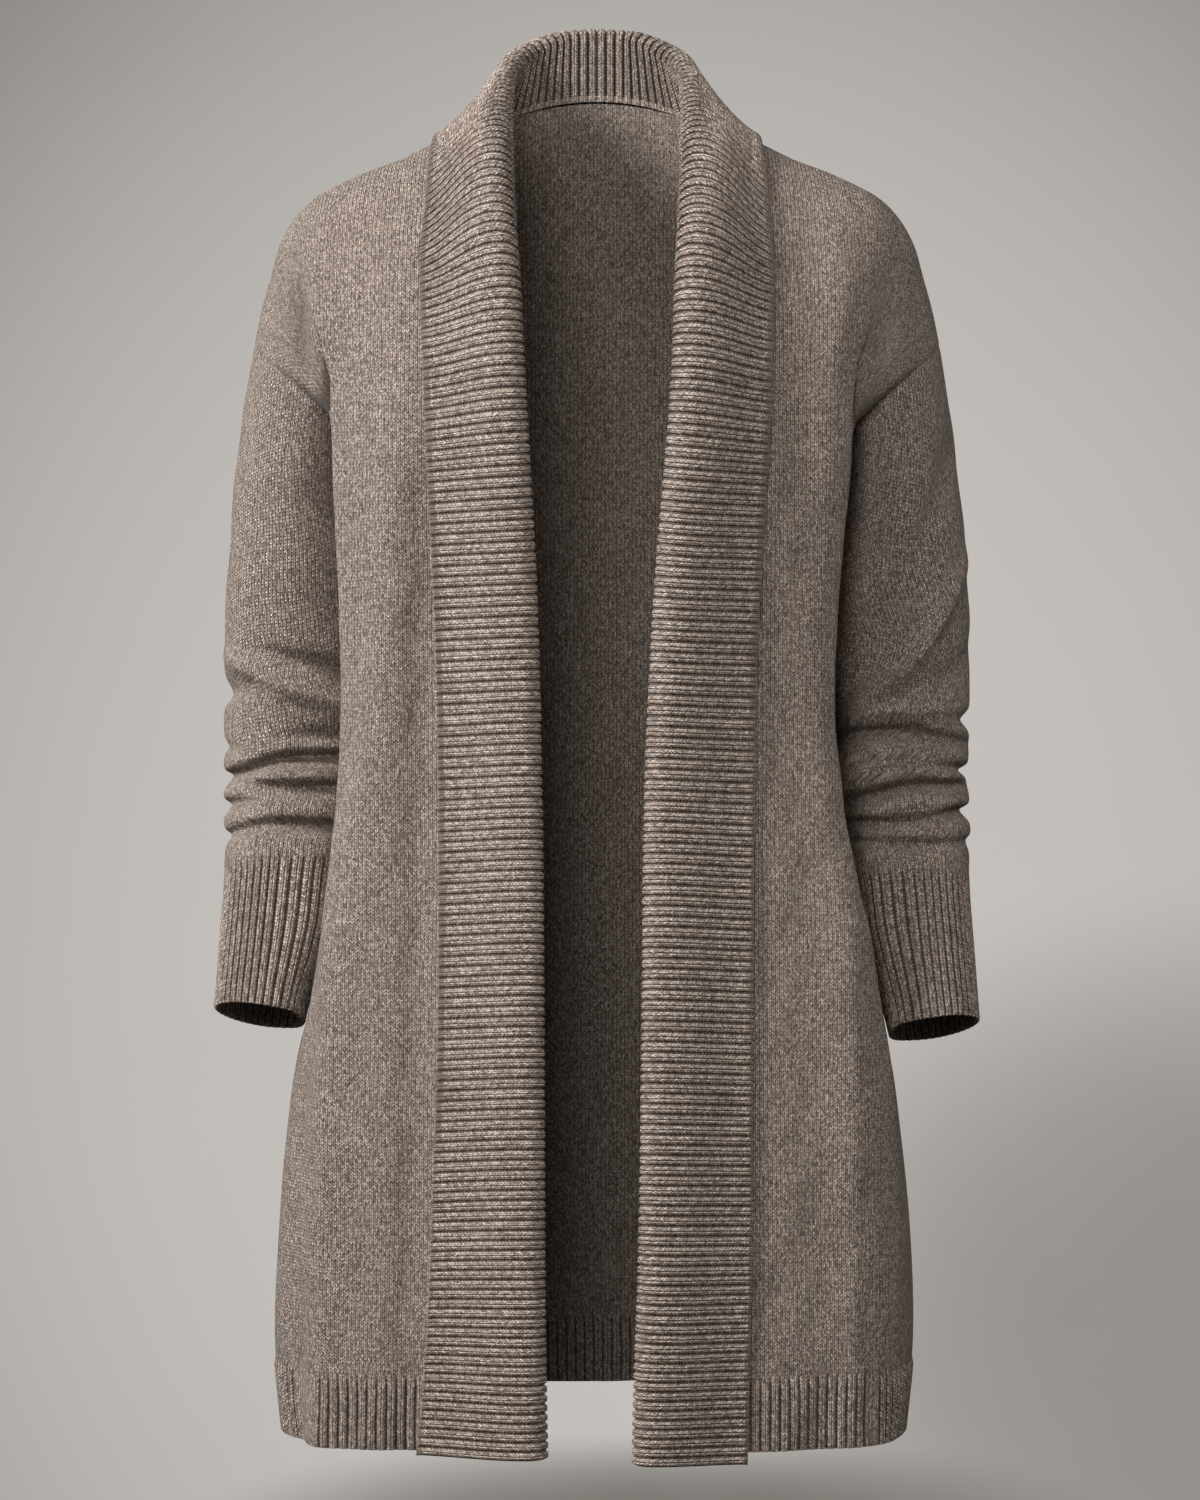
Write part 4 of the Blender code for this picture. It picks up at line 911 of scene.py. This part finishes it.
def collar_frames(side):
    """Directions across the collar: "fold" points out of the roll and "face" out of its outer layer."""
    guides = collar_guides(side)
    along = unit(np.gradient(guides["roll"], axis=0))
    along[-1] = (-side, 0, 0)
    reach = guides["roll"] - guides["seam"]
    reach = reach - np.sum(reach * along, axis=1, keepdims=True) * along
    tilt = np.arcsin(np.clip(guides["round"][:, 0] / np.linalg.norm(reach, axis=1), 0, 0.9))[:, None]
    reach = unit(reach)
    face = np.cross(along, reach) * side
    guides["fold"] = np.cos(tilt) * reach - np.sin(tilt) * face
    guides["face"] = np.cos(tilt) * face + np.sin(tilt) * reach
    return guides


def collar_line(station):
    """Middle points and directions across the strip, from the seam round the roll to the free edge."""
    seam, roll, free, fold, face, radius, outward = station
    radius = float(radius[0])
    centre = roll - (radius + RIB_CLOTH + RIB_RIDGE) * fold
    turn = np.linspace(0, math.pi, ARC_STEPS)[:, None]
    arc_out = -np.cos(turn) * face + np.sin(turn) * fold
    arc = centre + radius * arc_out
    t = np.linspace(0, 1, SEAM_STEPS)[:-1, None]
    under = seam + t * (arc[0] - seam)
    under_out = unit(-face + 0 * under)
    reach = np.linalg.norm(free - arc[-1]) / 3
    across = unit(np.cross(np.cross(outward, free - arc[-1]), outward))
    t = np.append(np.linspace(0, 1, FACE_STEPS)[1:-1], FREE_END)
    over = bezier(arc[-1], arc[-1] - reach * fold, free - reach * across, free, t)
    over_out = unit((1 - t)[:, None] * face + t[:, None] * outward)
    return np.concatenate([under, arc, over]), np.concatenate([under_out, arc_out, over_out])


def make_collar(side, material):
    guides = collar_frames(side)
    ribs = guides["ribs"]
    count = int(round(ribs[-1]))
    places = rib_places(count)
    at = places / count * ribs[-1]
    names = ("seam", "roll", "free", "fold", "face", "round", "outward")
    parts = [between(at, ribs, guides[name]) for name in names]
    lines = [collar_line(station) for station in zip(*parts)]
    middle = np.array([line[0] for line in lines])
    out = np.array([line[1] for line in lines])
    from_seam, from_free = (edge_distance(middle, edge) for edge in (FIRST_COLUMN, LAST_COLUMN))
    height = rib_height(places)[:, None] * ramp(*BESIDE_BEAD, from_seam)
    bead = BEAD_RISE * np.sqrt(np.clip(1 - (2 * from_seam / BEAD - 1) ** 2, 0, 1))
    flat = 1 - ramp(*BESIDE_SELVAGE, from_free)
    height = height + flat * (SELVAGE_HEIGHT - height)
    drop = rim_round(from_free) + rim_round(edge_distance(middle, FIRST_ROW))
    raised = RIB_CLOTH + RIB_RIDGE * height + bead - drop
    outer = middle + raised[..., None] * out
    inner = middle + (COLLAR_HOLLOW * RIB_RIDGE * (1 - height))[..., None] * out
    around_neck = (parts[0][:, 2] > NECK_TOP)[:, None]
    layers = []
    for layer in (outer, inner):
        layer = pull(layer, np.where(around_neck, NECK_GAP, CLOSE_GAP), (FIRST_COLUMN,))
        # The last ribs are spread evenly up to the centre back, where the other half begins.
        start = int(np.argmax(places >= count - EVEN_RIBS))
        share = ((places[start:] - places[start]) / (places[-1] - places[start]))[:, None]
        layer[start:, :, 0] = layer[start, :, 0] * (1 - share) + side * CLOSE_GAP * share
        layers.append(layer)
    flat_edge = SELVAGE_MARK * (1 - ramp(*SELVAGE_MARKED, from_free))
    stitches = (places[:, None], from_seam / RIB_COURSE + flat_edge)
    knit("collar_" + SIDES[side], *layers, stitches, material, "rib_knit", middle, "folded")


# ---------------------------------------------------------------- materials
class Nodes:
    """A short way to write the nodes of a material or of the world."""

    def __init__(self, owner):
        owner.use_nodes = True
        self.tree = owner.node_tree

    def feed(self, node, inputs):
        """Sets or links inputs of a node, given by name or number."""
        for key, value in inputs.items():
            if isinstance(value, bpy.types.NodeSocket):
                self.tree.links.new(value, node.inputs[key])
            else:
                node.inputs[key].default_value = value

    def add(self, kind, inputs=None, output=0, **settings):
        node = self.tree.nodes.new("ShaderNode" + kind)
        for name, value in settings.items():
            setattr(node, name, value)
        self.feed(node, inputs or {})
        return node.outputs if output is None else node.outputs[output]

    def math(self, operation, *values, clamp=False):
        return self.add("Math", dict(enumerate(values)), operation=operation, use_clamp=clamp)

    def vector(self, *values):
        return self.add("CombineXYZ", dict(enumerate(values)))

    def split(self, vector):
        return self.add("SeparateXYZ", {0: vector}, output=None)

    def noise(self, place, scale, detail):
        return self.add("TexNoise", {"Vector": place, "Scale": scale, "Detail": detail})

    def random(self, place):
        return self.add("TexWhiteNoise", {"Vector": place}, "Value", noise_dimensions="3D")

    def ramp(self, low, high, value):
        inputs = {"Value": value, "From Min": low, "From Max": high}
        return self.add("MapRange", inputs, interpolation_type="SMOOTHSTEP")

    def mix(self, share, a, b):
        return self.add("Mix", {0: share, 6: a, 7: b}, output=2, data_type="RGBA")


def knit_material(name, ribbed):
    """Melange wool: stitches that slant to a V, flecked yarn, and painted shade in the gaps between the
    stitches and in the grooves of ribs.
    """
    material = bpy.data.materials.new(name)
    s = Nodes(material)
    u, v = s.split(s.add("UVMap", uv_map="knit"))[:2]
    space = s.add("TexCoord", output="Object")
    wander = s.math("SUBTRACT", s.noise(space, *STRAY_NOISE), 0.5)
    if ribbed:
        off = s.math("SUBTRACT", s.math("FRACT", u), 0.5)
        u = s.math("ADD", s.math("FLOOR", u), s.math("DIVIDE", off, RIB_TOP))
        u = s.math("MULTIPLY", u, 2.0)
    u, v = (s.math("MULTIPLY_ADD", wander, far, place) for far, place in zip(STRAY, (u, v)))
    wale, across = s.math("FLOOR", u), s.math("SUBTRACT", s.math("FRACT", u), 0.5)
    spread = s.math("ABSOLUTE", across)
    leg = s.math("SUBTRACT", v, s.math("MULTIPLY", spread, LEG_RISE))
    along = s.math("SUBTRACT", s.math("FRACT", leg), 0.5)
    p = s.math("DIVIDE", s.math("SUBTRACT", spread, LEG_PLACE), LEG_HALF)
    q = s.math("DIVIDE", along, LEG_LONG)
    strand, bead = (s.math("MAXIMUM", s.math("SUBTRACT", 1.0, s.math("MULTIPLY", part, part)), 0.0)
                    for part in (p, q))
    height = s.math("POWER", s.math("MULTIPLY", strand, bead), LEG_ROUND)
    half = s.math("FLOOR", s.math("MULTIPLY", leg, FLECKS))
    fleck = s.random(s.vector(wale, half, s.math("SIGN", across)))
    fibre = s.noise(space, *FIBRE_NOISE)
    tone = s.math("MULTIPLY_ADD", fleck, *FLECK_TONE)
    tone = s.math("ADD", tone, s.math("MULTIPLY", fibre, FIBRE_TONE), clamp=True)
    low = s.mix(s.ramp(0.0, 0.5, tone), YARN_DARK, YARN_MID)
    yarn = s.mix(s.ramp(0.5, 1.0, tone), low, YARN_LIGHT)
    # Painted shade: the yarn darkens towards the gap colour between the stitches.
    shade = s.math("MULTIPLY_ADD", height, *SHADE)
    if ribbed:
        # The groove's edges follow the stitches. It starts at the seam and ends at the edge stitch.
        edge = s.math("MULTIPLY_ADD", along, GROOVE_STRAY, s.math("ABSOLUTE", off))
        stand = s.math("MULTIPLY", s.ramp(*STAND_ROWS, v), s.math("GREATER_THAN", v, BEAD_ROWS))
        edge = s.math("MULTIPLY_ADD", stand, STAND_GROOVE, edge)
        groove = s.ramp(0.5 - GROOVE_HALF, 0.5 - GROOVE_FLOOR, edge)
        top = s.math("MAXIMUM", s.ramp(0.0, GROOVE_START, v), s.ramp(BEAD_FOOT, BEAD_ROWS, v))
        inside = s.math("LESS_THAN", v, 0.5 * SELVAGE_MARK)
        groove = s.math("MULTIPLY", groove, s.math("MULTIPLY", top, inside))
        # Painted shade: the ribs of the hem and cuffs stay darker than the collar's, for their deeper
        # grooves.
        level = s.math("MULTIPLY_ADD", s.math("GREATER_THAN", v, COLLAR_ROWS), COLLAR_LIGHTER, RIB_LIGHT)
        # Painted shade on the collar's inner side, which lies under the collar's roll.
        level = s.math("MULTIPLY_ADD", stand, STAND_SHADE, level)
        # Painted shade in the grooves between the ribs.
        shade = s.math("MULTIPLY", shade, s.math("MULTIPLY_ADD", groove, GROOVE_SHADE, level))
        height = s.math("MULTIPLY", height, s.math("SUBTRACT", 1.0, groove))
    fuzzy = s.math("MULTIPLY_ADD", fibre, FIBRE_RISE, height)
    bump = s.add("Bump", {"Strength": 1.0, "Distance": STITCH_RISE, "Height": fuzzy})
    s.feed(s.tree.nodes["Principled BSDF"], {"Base Color": s.mix(shade, GAP, yarn), "Normal": bump, **WOOL})
    return material


# ---------------------------------------------------------------- stage, light and camera
def backdrop():
    """A glowing plane behind the garment with a painted pool of light and painted shadows of the garment as
    soft patches.
    """
    material = bpy.data.materials.new("backdrop")
    s = Nodes(material)
    space = s.split(s.add("TexCoord", output="Object"))
    x, z = (s.math("DIVIDE", part, BACKDROP_SPREAD) for part in space[:2])
    base = BACKDROP_DARK
    for middle, half_axes, strength, colour in PAINTED_LIGHT_AND_SHADOWS:
        parts = [s.math("DIVIDE", s.math("SUBTRACT", at, centre), half)
                 for at, centre, half in zip((x, z), middle, half_axes)]
        away = s.math("ADD", *(s.math("MULTIPLY", part, part) for part in parts))
        base = s.mix(s.math("MULTIPLY", s.ramp(1.0, 0.0, away), strength), base, colour)
    base = s.mix(s.math("MULTIPLY", s.noise(s.vector(x, z), *CLOUD_NOISE), CLOUD_STRENGTH), base, CLOUD)
    s.feed(s.tree.nodes["Material Output"], {"Surface": s.add("Emission", {"Color": base})})
    bpy.ops.mesh.primitive_plane_add(size=1, location=BACKDROP_PLACE, rotation=(math.pi / 2, 0, 0))
    plane = bpy.context.object
    plane.name = "backdrop"
    plane.scale = (BACKDROP_WIDTH, BACKDROP_WIDTH, 1.0)
    bpy.ops.object.transform_apply(location=False, rotation=False, scale=True)
    plane.data.materials.append(material)
    plane.visible_diffuse = False
    plane.visible_shadow = False
    plane.visible_glossy = False


def area_light(name, place, aim, size, power, colour):
    light = bpy.data.lights.new(name, "AREA")
    light.shape = "DISK"
    light.size = size
    light.energy = power
    light.color = colour
    away = np.array(aim, float) - np.array(place, float)
    flat = math.hypot(away[0], away[1])
    put(name, light, place, (math.pi / 2 + math.atan2(away[2], flat), 0, math.atan2(-away[0], away[1])))


def light_and_camera():
    for light in LIGHTS:
        area_light(*light)
    world = bpy.data.worlds.new("room")
    sky = Nodes(world)
    height = sky.split(sky.add("TexCoord", output="Generated"))[2]
    fade = sky.add("MapRange", {"Value": height, **SKY_FADE})
    sky.feed(sky.tree.nodes["Background"], {"Strength": fade, "Color": SKY_COLOUR})
    camera = bpy.data.cameras.new("camera")
    camera.lens = LENS
    camera.sensor_fit = "VERTICAL"
    camera.sensor_height = SENSOR
    camera.clip_end = FAR
    scene = bpy.context.scene
    scene.world = world
    scene.camera = put("camera", camera, CAMERA_PLACE, (math.pi / 2, 0, 0))
    scene.render.resolution_x, scene.render.resolution_y = PICTURE
    scene.view_settings.view_transform = "Standard"
    scene.view_settings.look = "None"


# ---------------------------------------------------------------- the whole garment
def main():
    plain = knit_material("stockinette_wool", False)
    ribbed = knit_material("rib_wool", True)
    make_back(plain)
    for side in SIDES:
        make_front(side, plain)
        make_sleeve(side, plain)
        make_cuff(side, ribbed)
        make_collar(side, ribbed)
    hem_wall("hem_rib_back", ((-1, 1), (1, 1)), ribbed)
    for side, name in SIDES.items():
        hem_wall("hem_rib_front_" + name, ((side, -1),), ribbed)
    backdrop()
    light_and_camera()


main()
